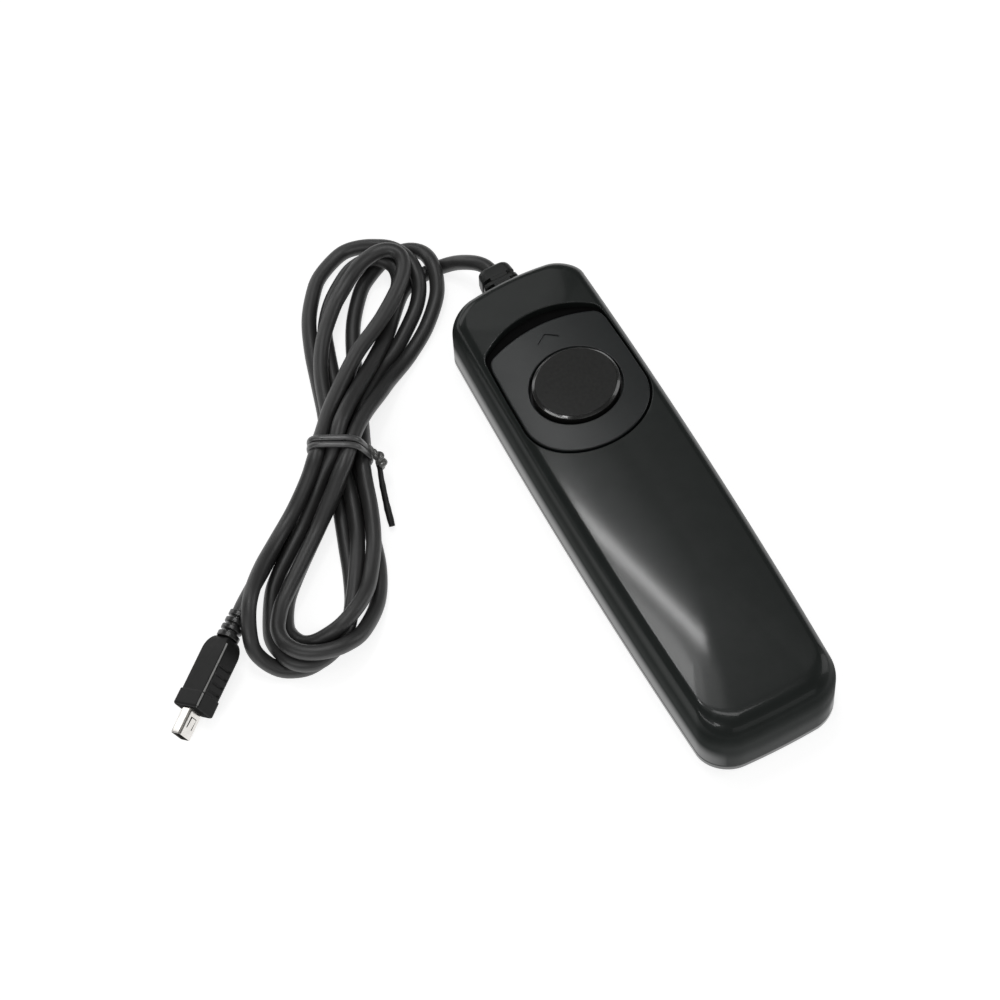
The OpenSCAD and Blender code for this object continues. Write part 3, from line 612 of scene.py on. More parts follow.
def wall(L, z0, z1, sign=1):
    """Upright wall along the loop L that faces outwards, or inwards with sign -1."""
    N = np.c_[loop_normals(L) * sign, np.zeros(len(L))]
    V, F = grid(np.array([at_z(L, z0), at_z(L, z1)]), close_cols=True)
    return Shape().add(V, F, np.array([N, N]))


def flat(outer, holes, z, up, extra=None):
    Q, F = patch(outer, holes, extra)
    return Shape().add(at_z(Q, z), F, np.repeat([[0, 0, up]], len(Q), 0))


def tube_boss(x, y, r, hole, z0, z1, deep):
    M = place((x, y, 0))
    return lathe([(0, deep), (hole, deep), (hole, z0), (r - 0.12, z0), (r, z0 + 0.12), (r, z1), (0, z1)], 40).placed(M)


def rect_loop(x0, y0, x1, y1, r=0.4, step=0.6):
    L = rounded(x1 - x0, y1 - y0, r, 4) + [(x0 + x1) / 2, (y0 + y1) / 2]
    return even(L, step)


FL_A, FL_B = 9.5, 8.7
SCREWS_AT = [(0, -HL + 11), (9, HL - 9.5), (-9, HL - 9.5)]


def top_shell():
    sh = Shape()
    # wall and the outer part of the roll-over, as rings
    rolls = [(z, 0.0) for z in (SEAM + 0.22, 3.4, 5.4, 7.4, 8.6, WALL_TOP)]
    angles = [3, 7, 12, 18, 24, 30, 36, 42, 47]
    rings = [at_z(OUT, z) for z, _ in rolls]
    for a in angles:
        p = 1 - math.cos(math.radians(a)) ** 0.8
        rings.append(at_z(shrunk(OUT, ROLL_X * p, ROLL_TAIL * p, ROLL_HEAD * p), float(roll_z(p))))
    R = np.array(rings)
    side = np.c_[loop_normals(OUT), np.zeros(len(OUT))]
    N = np.zeros_like(R)
    for k in range(len(R)):
        if k < len(rolls):
            N[k] = side
        else:
            up = R[min(k + 1, len(R) - 1)] - R[k - 1]
            round_ = np.roll(R[k], -1, 0) - np.roll(R[k], 1, 0)
            N[k] = unit(np.cross(round_, up))
    inner = R[-1][:, :2]
    last = height_normal(inner)
    N[-1] = last
    V, F = grid(R, close_cols=True)
    sh.add(V, F, N)
    # groove at the seam with the cover
    lip = shrunk(OUT, 0.16, 0.16, 0.16)
    V, F = grid(np.array([at_z(lip, SEAM + 0.06), at_z(OUT, SEAM + 0.22)]), close_cols=True)
    sh.add(V, F, np.array([side - [0, 0, 0.8], side - [0, 0, 0.5]]))
    # the top, with its recess
    edge, hole = edge_strip(RECESS, 1, 0.28, FLOOR)
    sh.join(edge)
    extra = []
    for a, k in ((54, 1), (61, 1), (68, 1), (74, 1), (79, 1), (84, 1)):
        p = 1 - math.cos(math.radians(a)) ** 0.8
        extra.append(shrunk(OUT, ROLL_X * p, ROLL_TAIL * p, ROLL_HEAD * p)[::k])
    H = hexes((-11.6, -44), (11.7, 48.6), 1.15)
    ring84 = shrunk(OUT, ROLL_X * P84, ROLL_TAIL * P84, ROLL_HEAD * P84)
    H = H[in_loop(H, ring84)]
    H = H[far_from(H, ring84, 0.5)]
    extra.append(H)
    extra = np.vstack(extra)
    extra = extra[~in_loop(extra, hole)]
    extra = extra[far_from(extra, hole, 0.3)]
    Q, F = patch(inner, [hole], extra)
    sh.add(lift(Q), F, height_normal(Q))
    # recess floor, opening under the button, ceiling and inner walls
    gap = rect_loop(-FL_A - 0.4, BY - FL_B - 0.9, FL_A + 0.4, BY + FL_B + 2.5)
    # the recess floor and the wall of the opening take the near-black second material: painted shade
    sh.join(flat(RECESS, [gap], FLOOR, 1).paint(1))
    sh.join(wall(gap, FLOOR, CEIL, -1).paint(1))
    roof, side_in = even(shrunk(OUT, 2.5, 3.6, 2.5), 1.5), even(shrunk(OUT, 1.8, 1.8, 1.8), 1.5)
    sh.join(flat(roof, [gap], CEIL, -1))
    sh.join(wall(roof, 10.6, CEIL, -1))
    sh.join(flat(side_in, [roof], 10.6, -1))
    sh.join(wall(side_in, SEAM + 0.06, 10.6, -1))
    sh.join(flat(lip, [side_in], SEAM + 0.06, -1))
    for x, y in SCREWS_AT:
        sh.join(tube_boss(x, y, 2.0, 1.0, 3.4, 13.0, 9.0))
    return sh


def bottom_cover():
    sh = Shape()
    prof = [(0.0, 0.95), (0.04, 0.78), (0.14, 0.52), (0.28, 0.32), (0.45, 0.18), (0.66, 0.07), (0.9, 0.0), (1.9, 0.0)]
    R = np.array([at_z(shrunk(OUT, s, s, s), z) for z, s in prof])
    side = np.c_[loop_normals(OUT), np.zeros(len(OUT))]
    N = np.zeros_like(R)
    for k in range(len(R)):
        d = np.array(prof[min(k + 1, len(R) - 1)]) - np.array(prof[max(k - 1, 0)])
        N[k] = unit(side * d[0] + [0, 0, d[1]]) if k else unit(side * 0.25 - [0, 0, 1])
    V, F = grid(R, close_cols=True)
    sh.add(V, F, N)
    lip = shrunk(OUT, 0.16, 0.16, 0.16)
    V, F = grid(np.array([at_z(OUT, 1.9), at_z(lip, SEAM - 0.02)]), close_cols=True)
    sh.add(V, F, np.array([side + [0, 0, 0.5], side + [0, 0, 0.8]]))
    foot = R[0][:, :2]
    holes = [np.array([(x, y)]) + 2.2 * np.c_[np.cos(_a), np.sin(_a)] for x, y in SCREWS_AT for _a in [np.linspace(0, 2 * PI, 48, endpoint=False)]]
    # the foot's shallow border groove
    g0, g1 = even(shrunk(OUT, 2.6, 2.6, 2.6), 1.2), even(shrunk(OUT, 3.1, 3.1, 3.1), 1.2)
    sh.join(flat(foot, [g0], 0.0, -1))
    sh.join(wall(g0, 0.0, 0.22, -1)).join(flat(g0, [g1], 0.22, -1)).join(wall(g1, 0.0, 0.22, 1))
    sh.join(flat(g1, holes, 0.0, -1))
    for (x, y), h in zip(SCREWS_AT, holes):
        small = np.array([(x, y)]) + (h - (x, y)) * 0.5
        sh.join(wall(h, 0.0, 1.65, -1)).join(flat(h, [small], 1.65, -1)).join(wall(small, 1.65, 3.4, -1))
    # lip that enters the upper shell, and the inside with its bosses
    l0, l1 = even(shrunk(OUT, 1.9, 1.9, 1.9), 1.2), even(shrunk(OUT, 2.9, 2.9, 2.9), 1.2)
    sh.join(flat(lip, [l0], SEAM - 0.02, 1)).join(wall(l0, SEAM - 0.02, 4.0, 1)).join(flat(l0, [l1], 4.0, 1))
    sh.join(wall(l1, 1.8, 4.0, -1))
    big = [np.array([(x, y)]) + (h - (x, y)) * (2.7 / 2.2) for (x, y), h in zip(SCREWS_AT, holes)]
    sh.join(flat(l1, big, 1.8, 1))
    for (x, y), h, b in zip(SCREWS_AT, holes, big):
        small = np.array([(x, y)]) + (h - (x, y)) * 0.5
        sh.join(wall(b, 1.8, 3.4, 1)).join(flat(b, [small], 3.4, 1))
    # pedestal under the cable, hollowed to fit it, and the pegs of the switch base
    a = np.radians(np.linspace(180, 360, 25))
    top = np.c_[1.47 * np.cos(a), 7.5 + 1.47 * np.sin(a)]
    L = np.vstack([[[-6, 1.75]], [[6, 1.75]], [[6, 7.2]], [[5.75, 7.45]], top[::-1][1:-1], [[-5.75, 7.45]], [[-6, 7.2]]])
    Q, F = patch(L)
    for y, s in ((HL - 7.5, -1), (HL - 4.5, 1)):
        sh.add(np.c_[Q[:, 0], np.full(len(Q), y), Q[:, 1]], F, np.repeat([[0, s, 0]], len(Q), 0))
    for i in range(len(L)):
        p, q = L[i], L[(i + 1) % len(L)]
        t = unit(q - p)
        V = [[p[0], HL - 7.5, p[1]], [q[0], HL - 7.5, q[1]], [q[0], HL - 4.5, q[1]], [p[0], HL - 4.5, p[1]]]
        sh.add(V, [[0, 1, 2, 3]], np.repeat([[t[1], 0, -t[0]]], 4, 0))
    for x in (-3.8, 3.8):
        sh.join(lathe([(0, 1.75), (0.9, 1.75), (0.9, 4.25), (0.75, 4.4), (0, 4.4)], 32).placed(place((x, -2.5, 0))))
    return sh


ARROW = np.array([[-2.2, -0.7], [-2.2, -0.2], [0, 1.3], [2.2, -0.2], [2.2, -0.7], [0, 0.8]])[::-1] + [0, BY + 11.1]


def lock_slide():
    sh = Shape()
    win = oval(8.8, 7.95)
    e1, outer = edge_strip(SLIDE, -1, 0.28, FLOOR + 0.1)
    e2, hole = edge_strip(win, 1, 0.3, FLOOR + 0.1)
    sh.join(e1).join(e2)
    mark = even(fillet_corners(ARROW, 0.25, 3), 0.25)
    extra = hexes((-12, BY - 13.6), (12, BY + 14.4), 1.0)
    extra = extra[in_loop(extra, outer) & ~in_loop(extra, hole) & ~in_loop(extra, mark)]
    for L in (outer, hole, mark):
        extra = extra[far_from(extra, L, 0.35)]
    Q, F = patch(outer, [hole, mark], extra)
    sh.add(lift(Q), F, height_normal(Q))
    Q, F = patch(mark)
    sh.add(lift(Q) - [0, 0, 0.25], F, height_normal(Q))
    side = -np.c_[loop_normals(mark), np.zeros(len(mark))]
    top = lift(mark)
    V, F = grid(np.array([top, top - [0, 0, 0.25]]), close_cols=True)
    sh.add(V, F, np.array([side, side]))
    sh.join(flat(SLIDE, [win], FLOOR + 0.1, -1))
    for x in (-8.4, 8.4):
        for y in (BY - 8.2, BY + 8.2):
            L = even(rounded(2, 2, 0.35, 4), 0.2) + [x, y]
            c = np.array([x, y]) + 0.55 * np.c_[np.cos(_t8), np.sin(_t8)]
            sh.join(wall(L, CEIL - 0.2, FLOOR + 0.2)).join(flat(L, [c], CEIL - 0.2, -1)).join(wall(c, CEIL - 0.2, CEIL + 0.9, -1)).join(flat(c, [], CEIL + 0.9, -1))
    return sh


_t8 = np.linspace(0, 2 * PI, 24, endpoint=False)


def shutter_button():
    sh = Shape()
    z1, ct, n = CEIL + 0.05, TOP + 1.1, 150
    # cap: side, rounded rim, slightly domed top
    prof = [(0.0, z1 + 0.8), (0.0, ct - 0.62), (0.03, ct - 0.53), (0.09, ct - 0.46), (0.5, ct - 0.16), (0.58, ct - 0.12), (0.66, ct - 0.1)]
    R = [at_z(oval(8.35 - q, 7.5 - q, n), z) for q, z in prof]
    t = np.linspace(0, 2 * PI, n, endpoint=False)
    side = unit(np.c_[7.5 * np.cos(t), 8.35 * np.sin(t), 0 * t])
    N = []
    for k in range(len(R)):
        d = np.array(prof[min(k + 1, len(R) - 1)]) - np.array(prof[max(k - 1, 0)])
        N.append(unit(side * d[1] + [0, 0, d[0]]))
    for s in (0.915, 0.8, 0.62, 0.42, 0.2):
        R.append(at_z(oval(8.35 * s, 7.5 * s, n), ct - 0.1 * s * s))
        N.append(unit(side * 0.024 * s + [0, 0, 1]))
    V, F = grid(np.array(R), close_cols=True)
    F = F.reshape(len(R) - 1, n, 4)
    for rows, k in (((0, 1), 0), ((2, 3, 4), 1), (range(5, len(R) - 1), 0)):
        sh.join(Shape().add(V, F[list(rows)].reshape(-1, 4), np.array(N)).paint(k))
    sh.join(cap(R[-1], [0, 0, 1]))
    # flange and hollow underside
    fl, low, skirt = oval(FL_A, FL_B, n), oval(8.35, 7.5, n), oval(7.05, 6.2, n)
    sh.join(wall(fl, z1, z1 + 0.8)).join(flat(fl, [low], z1 + 0.8, 1)).join(flat(fl, [skirt], z1, -1))
    sh.join(wall(skirt, z1, ct - 1.3, -1)).join(flat(skirt, [], ct - 1.3, -1))
    # plunger with its ribs
    tip = 9.9 + 0.05
    ball = [(2 * math.sin(a), tip + 2 - 2 * math.cos(a)) for a in np.linspace(0, PI / 2, 9)]
    sh.join(lathe([*ball, (2, ct - 1.25), (0, ct - 1.25)], 40).placed(place((0, BY, 0))))
    for w, h in ((12.2, 0.8), (0.8, 12.2)):
        L = even(rounded(w, h, 0.2, 3), 0.5) + [0, BY]
        sh.join(wall(L, z1 + 0.4, ct - 1.25)).join(flat(L, [], z1 + 0.4, -1)).join(flat(L, [], ct - 1.25, 1))
    return sh

# ------------------------------------------------------------------ boot, plug and tie


def cable_boot():
    sh, rings, crease = Shape(), [], []

    def size(z):
        w = np.interp(z, [0, 4.5, 5.0, 5.35, 5.6, 5.75, 5.8], [7.4, 6.5, 6.3, 5.95, 5.5, 5.0, 4.6])
        h = np.interp(z, [0, 4.5, 5.0, 5.35, 5.6, 5.75, 5.8], [6.4, 5.6, 5.42, 5.1, 4.7, 4.25, 3.9])
        return w, h

    def full(z, inset=0.0):
        w, h = size(z)
        return at_z(rounded(w - 2 * inset, h - 2 * inset, 1.35 - inset, 9), z)

    def core(z, x):
        L = full(z)
        L[:, 0] = np.clip(L[:, 0], -x, x)
        return L

    rings += [full(0.0), full(0.35), full(0.69)]
    for z0, z1, x in ((0.775, 1.525, 1.65), (2.325, 3.075, 1.65)):
        rings += [full(z0 - 0.08), full(z0 - 0.02, 0.03), full(z0, 0.1)]
        crease.append(len(rings) - 1)
        rings.append(core(z0, x))
        crease.append(len(rings) - 1)
        rings.append(core(z1, x))
        crease.append(len(rings) - 1)
        rings += [full(z1, 0.1), full(z1 + 0.02, 0.03), full(z1 + 0.08)]
        crease.append(len(rings) - 3)
    rings += [full(z) for z in (3.6, 4.5, 5.0, 5.35, 5.6, 5.75, 5.8)]
    sh.join(skin(rings, crease))
    a = np.linspace(0, 2 * PI, 40, endpoint=False) + PI / 40
    hole = 1.47 * np.c_[np.cos(a), np.sin(a)]
    hole_n = np.c_[-np.cos(a), -np.sin(a), 0 * a]
    Q, F = patch(rings[-1][:, :2], [hole])
    sh.add(at_z(Q, 5.8), F, np.repeat([[0, 0, 1]], len(Q), 0))
    Q, F = patch(rings[0][:, :2], [hole])
    sh.add(at_z(Q, 0.0), F, np.repeat([[0, 0, -1]], len(Q), 0))
    V, F = grid(np.array([at_z(hole, 0.0), at_z(hole, 5.8)]), close_cols=True)
    sh.add(V, F, np.array([hole_n, hole_n]))
    # neck through the casing's wall, and the flange inside
    for w, h, r, z0, z1 in ((5, 4.2, 0.9, -2.1, -0.01), (7, 6, 1, -3.3, -2.15)):
        L = rounded(w, h, r, 6)
        sh.join(skin([at_z(L, z0), at_z(L, z1)]))
        for z, s in ((z0, -1), (z1, 1)):
            Q, F = patch(L, [hole])
            sh.add(at_z(Q, z), F, np.repeat([[0, 0, s]], len(Q), 0))
        V, F = grid(np.array([at_z(hole, z0), at_z(hole, z1)]), close_cols=True)
        sh.add(V, F, np.array([hole_n, hole_n]))
    return sh.placed(place((0, HL, 7.5)) @ ALONG_Y)


PLUG = place((-73.78, 16.96, 6.25), math.radians(217.65), math.radians(32), math.radians(7))


def strain_relief():
    ribs = [(1.85, 0.0, 1.02), (1.95, 1.55, 2.42), (2.05, 2.98, 3.86), (2.15, 4.42, 5.4)]
    prof = [(0, 0)]
    for k, (R, a, b) in enumerate(ribs):
        e = 0.17
        for t in np.linspace(0, PI / 2, 6):
            prof.append((R - e + e * math.sin(t), a + e - e * math.cos(t)))
        for t in np.linspace(0, PI / 2, 6):
            prof.append((R - e + e * math.cos(t), b - e + e * math.sin(t)))
        if k < 3:
            g = 1.36 + 0.05 * k
            prof += [(g + 0.1, b + 0.02), (g, b + 0.12), (g, ribs[k + 1][1] - 0.12), (g + 0.1, ribs[k + 1][1] - 0.02)]
    prof.append((0, 5.4))
    return lathe(prof, 72, crease=50).placed(ALONG_X).placed(PLUG)


def grip_half(w, w0):
    x = [5.4, 5.6, 5.8, 6.1, 6.4, 6.8, 7.2, 7.8, 8.4]
    s = [0.0, 0.24, 0.42, 0.57, 0.68, 0.8, 0.88, 0.96, 1.0]
    return x, [w0 + (w - w0) * k for k in s]


def plug_grip():
    marks = [11.2, 12.85, 14.5, 16.15]
    stations = [5.4, 5.6, 5.8, 6.1, 6.4, 6.8, 7.2, 7.8, 8.4, 9.6, 10.6]
    for c in marks:
        stations += [c - 0.36, c - 0.27, c - 0.2, c + 0.2, c + 0.27, c + 0.36]
    stations += [16.82, 16.9, 16.98, 17.06, 17.15, 17.3, 18.5, 19.6, 19.85, 20.02, 20.14, 20.2]
    rings = []
    share = [-1, -0.93, -0.88, -0.5, 0, 0.5, 0.88, 0.93, 1]
    for x in stations:
        xs, a = grip_half(3.0, 1.5)
        _, b = grip_half(2.25, 1.3)
        collar = float(np.interp(x, [16.9, 16.98, 17.06, 17.15, 19.85, 20.02, 20.14, 20.2], [0, 0.09, 0.16, 0.18, 0.2, 0.15, 0.06, -0.06]))
        hy, hz = float(np.interp(x, xs, a)) + collar, float(np.interp(x, xs, b)) + collar
        rc = min(0.5, 0.3 * hz)
        dip = max([float(np.interp(abs(x - c), [0.2, 0.27], [0.26, 0])) for c in marks])
        L = []
        for q in range(4):
            s = (1, 1, -1, -1)[q]
            if q % 2 == 0:
                side = [(s * (hy - (dip if abs(k) <= 0.88 else 0)), s * k * (hz - rc)) for k in share]
            else:
                side = [(-s * k * (hy - rc), s * hz) for k in (-0.98, -0.5, 0, 0.5, 0.98)]
            L += side
            cy, cz = ((1, 1), (-1, 1), (-1, -1), (1, -1))[q]
            for k in range(1, 5):
                t = math.radians((0, 90, 180, 270)[q] + 90 * k / 5)
                L.append((cy * (hy - rc) + rc * math.cos(t), cz * (hz - rc) + rc * math.sin(t)))
        rings.append([(x, y, z) for y, z in L])
    sh = skin(rings)
    # the grip's front face takes the near-black second material: painted shade that darkens its reflection of the floor
    sh.join(cap(rings[0], [-1, 0, 0])).join(cap(rings[-1], [1, 0, 0]).paint(1))
    # a thin bead along the grip's top corner, painted light grey: a painted highlight along the ridge
    ridge_streak = []
    for x in np.arange(7.0, 20.16, 0.25):
        xs, a = grip_half(3.0, 1.5)
        _, b = grip_half(2.25, 1.3)
        collar = float(np.interp(x, [16.9, 17.2, 19.85, 20.2], [0, 0.19, 0.2, 0.02]))
        hy, hz = float(np.interp(x, xs, a)) + collar, float(np.interp(x, xs, b)) + collar
        rc = min(0.5, 0.3 * hz)
        ridge_streak.append((x, hy - rc + (rc - 0.1) * 0.7071, hz - rc + (rc - 0.1) * 0.7071))
    sh.join(sweep(catmull(ridge_streak, 0.3), 0.19, 10, up=(0, 0.7071, 0.7071), squash=0.7, round_end=0.1).paint(2))
    return sh.placed(PLUG)


def plug_shell():
    xs = np.array([18.4, 20.4, 21.5, 21.7, 22.7, 23.7, 24.6, 25.22, 25.34, 25.4])
    drop = np.array([0, 0, 0, 0, 0, 0, 0, 0, 0.03, 0.1])

    def loop(hy, hz, rc, tongue):
        L = []
        for q in range(4):
            s = (1, 1, -1, -1)[q]
            if q % 2 == 0:
                L += [(s * (hy + (tongue if abs(z) < 0.6 else 0)), s * z) for z in (-0.95, -0.75, -0.55, 0, 0.55, 0.75, 0.95)]
            else:
                L += [(-s * y, s * hz) for y in (-0.6, 0, 0.6)]
            cy, cz = ((1, 1), (-1, 1), (-1, -1), (1, -1))[q]
            for k in range(0, 7):
                t = math.radians((0, 90, 180, 270)[q] + 90 * k / 6)
                L.append((cy * (hy - rc) + rc * math.cos(t), cz * (hz - rc) + rc * math.sin(t)))
        return np.array(L)

    n = len(loop(1.25, 1.65, 0.45, 0))
    bend = np.interp(xs, [21.5, 21.7, 23.7], [0, 0.16, 0.0])
    outer = np.array([np.c_[np.full(n, x), loop(1.25 - d, 1.65 - d, 0.45, b)] for x, d, b in zip(xs, drop, bend)])
    inner = np.array([np.c_[np.full(n, x), loop(1.03, 1.43, 0.25, b)] for x, b in zip(xs, bend)])
    cut = np.zeros((len(xs) - 1, n), bool)
    mid = (outer[:-1, :, 2] + np.roll(outer, -1, 1)[:-1, :, 2]) / 2
    flatside = np.abs(outer[0, :, 1]) > 1.24
    flatside &= np.roll(flatside, -1)
    for r in range(len(xs) - 1):
        x = (xs[r] + xs[r + 1]) / 2
        for c in range(n):
            if not flatside[c] or abs(mid[r, c]) > 0.8:
                continue
            z = abs(mid[r, c])
            if (21.5 < x < 23.7 and 0.55 < z < 0.75) or (21.5 < x < 21.7 and z < 0.75):
                cut[r, c] = True
    sh = Shape()
    # the ridge corner, the inside, the cut edges and the front rim take the darker nickel: a painted dark reflection
    # along the ridge and painted shade inside and round the mouth
    edge = np.zeros_like(cut)
    edge[:, 8:12] = True
    for P, flip in ((outer, True), (inner, False)):
        V, F = grid(P, close_cols=True)
        F = F.reshape(len(xs) - 1, n, 4)
        for some, k in ((~cut & ~edge, 0), (~cut & edge, 1)):
            sh.join(Shape().add(V, F[some][:, ::-1] if flip else F[some]).paint(k if flip else 1))
    for r in range(len(xs) - 1):
        for c in range(n):
            if not cut[r, c]:
                continue
            d = (c + 1) % n
            for (r2, c2), (p, q) in (((r - 1, c), ((r, c), (r, d))), ((r + 1, c), ((r + 1, d), (r + 1, c))),
                    ((r, (c - 1) % n), ((r + 1, c), (r, c))), ((r, d), ((r, d), (r + 1, d)))):
                if 0 <= r2 < len(xs) - 1 and cut[r2, c2]:
                    continue
                V = [outer[p], outer[q], inner[q], inner[p]]
                m = outer[[r, r + 1]][:, [c, d]].reshape(-1, 3).mean(0)
                sh.join(Shape().add(V, [[0, 1, 2, 3]], away=2 * np.mean(V, 0) - m).paint(1))
    V, F = grid(np.array([outer[-1], inner[-1]]), close_cols=True)
    sh.join(Shape().add(V, F, along=[1, 0, 0]).paint(1))
    V, F = grid(np.array([outer[0], inner[0]]), close_cols=True)
    sh.add(V, F, along=[-1, 0, 0])
    return sh.placed(PLUG)


def tie_points():
    """Where the strands cross the tie, as (across, height)."""
    q = LINE[:, :2] - TIE_AT
    u, v = q @ TIE_U, q @ TIE_V - TIE_SHIFT
    pts = []
    for v0 in (-0.8, 0.0, 0.8):
        for i in range(len(LINE) - 1):
            if (v[i] - v0) * (v[i + 1] - v0) <= 0 and abs(u[i]) < 9:
                t = (v0 - v[i]) / (v[i + 1] - v[i] + 1e-9)
                pts.append((u[i] + t * (u[i + 1] - u[i]), LINE[i, 2] + t * (LINE[i + 1, 2] - LINE[i, 2])))
    return np.array(pts)


BAND = 0.36  # half the thickness of the tie


def tie_hull():
    """The tie's way round the strands, from the knot's side over the top."""
    pts = tie_points()
    f = np.linspace(0, 2 * PI, 721)[:-1]
    n = np.c_[np.cos(f), np.sin(f)]
    at = pts[np.argmax(pts @ n.T, axis=0)] + (CORD_D / 2 + BAND) * n
    at[:, 1] = np.maximum(at[:, 1], BAND + 0.02)
    L = even(at, 0.35)
    k = int(np.argmin(np.abs(L[:, 1] - 5.2) + np.where(L[:, 0] > 0, 0, 99)))
    return np.roll(L, -k, axis=0)


def on_tie(u, v, z):
    v = v + TIE_SHIFT
    return np.array([TIE_AT[0] + TIE_U[0] * u + TIE_V[0] * v, TIE_AT[1] + TIE_U[1] * u + TIE_V[1] * v, z])


def twist_tie():
    L = tie_hull()
    L = np.vstack([soften(np.vstack([L[-12:], L, L[:12]]), 2.2)[12:-12]])
    n = len(L)
    P, W = [], []
    for k in range(2 * n + 1):
        s = k / n
        v = 0.62 - 1.24 * (0.0 if s < 0.82 else 1.0 if s > 1.12 else (s - 0.82) / 0.3)
        v += 0.12 * math.sin(4.1 * s + 0.6)
        P.append(on_tie(L[k % n, 0], v, L[k % n, 1]))
    P = np.array(P)
    T = unit(np.gradient(P, axis=0))
    along = np.array([TIE_V[0], TIE_V[1], 0.0])
    B = unit(along - (T @ along)[:, None] * T)
    A = np.cross(B, T)
    return sweep(P, 0.62, 14, squash=BAND / 0.62, A=A, B=B)


def tie_knot():
    """Two twisted ends: from the side of the bundle out to the tail, with a short second end."""
    L = tie_hull()
    u = float(L[0, 0])
    K = catmull([on_tie(u - 0.5, 0.3, 5.3), on_tie(u + 0.4, 0.1, 5.5), on_tie(u + 1.3, -0.3, 5.4), on_tie(u + 1.9, -1.2, 5.1), on_tie(u + 2.0, -2.3, 4.9)], 0.12)
    T, A, B = frames(K, (0, 0, 1))
    s = np.linspace(0, 1, len(K))
    sh = Shape()
    for ph in (0.0, PI):
        a = ph + 2 * PI * 1.6 * s
        r = 0.52 * np.sin(PI * np.clip(s * 1.25 + 0.12, 0, 0.5))
        P = K + (A * np.cos(a)[:, None] + B * np.sin(a)[:, None]) * r[:, None]
        sh.join(sweep(P, 0.55, 12, round_end=0.25))
    stub = catmull([K[8], K[8] + [-0.1, 0.7, 0.9], K[8] + [-0.5, 1.5, 1.4]], 0.15)
    sh.join(sweep(stub, 0.5, 12, round_end=0.12))
    return sh, K[-1]


def tie_tail(start):
    K = catmull([start, (-36.9, 33.6, 4.7), (-37.4, 32.0, 4.4), (-38.1, 30.1, 3.8), (-38.8, 27.8, 3.0), (-39.5, 25.3, 2.2), (-40.0, 23.2, 1.5), (-40.3, 21.9, 1.0)], 0.3)
    n = len(K)
    T, A, B = frames(K, (0, 0, 1))
    turn = 0.5 * np.sin(np.linspace(0, 5, n))[:, None]
    A2, B2 = A * np.cos(turn) + B * np.sin(turn), B * np.cos(turn) - A * np.sin(turn)
    r = 0.64 + 0.03 * np.sin(np.linspace(0, 17, n)) + 0.02 * np.sin(np.linspace(1, 43, n))
    return sweep(K, r, 14, squash=0.78, A=A2, B=B2, round_end=0.1)

# ------------------------------------------------------------------ materials


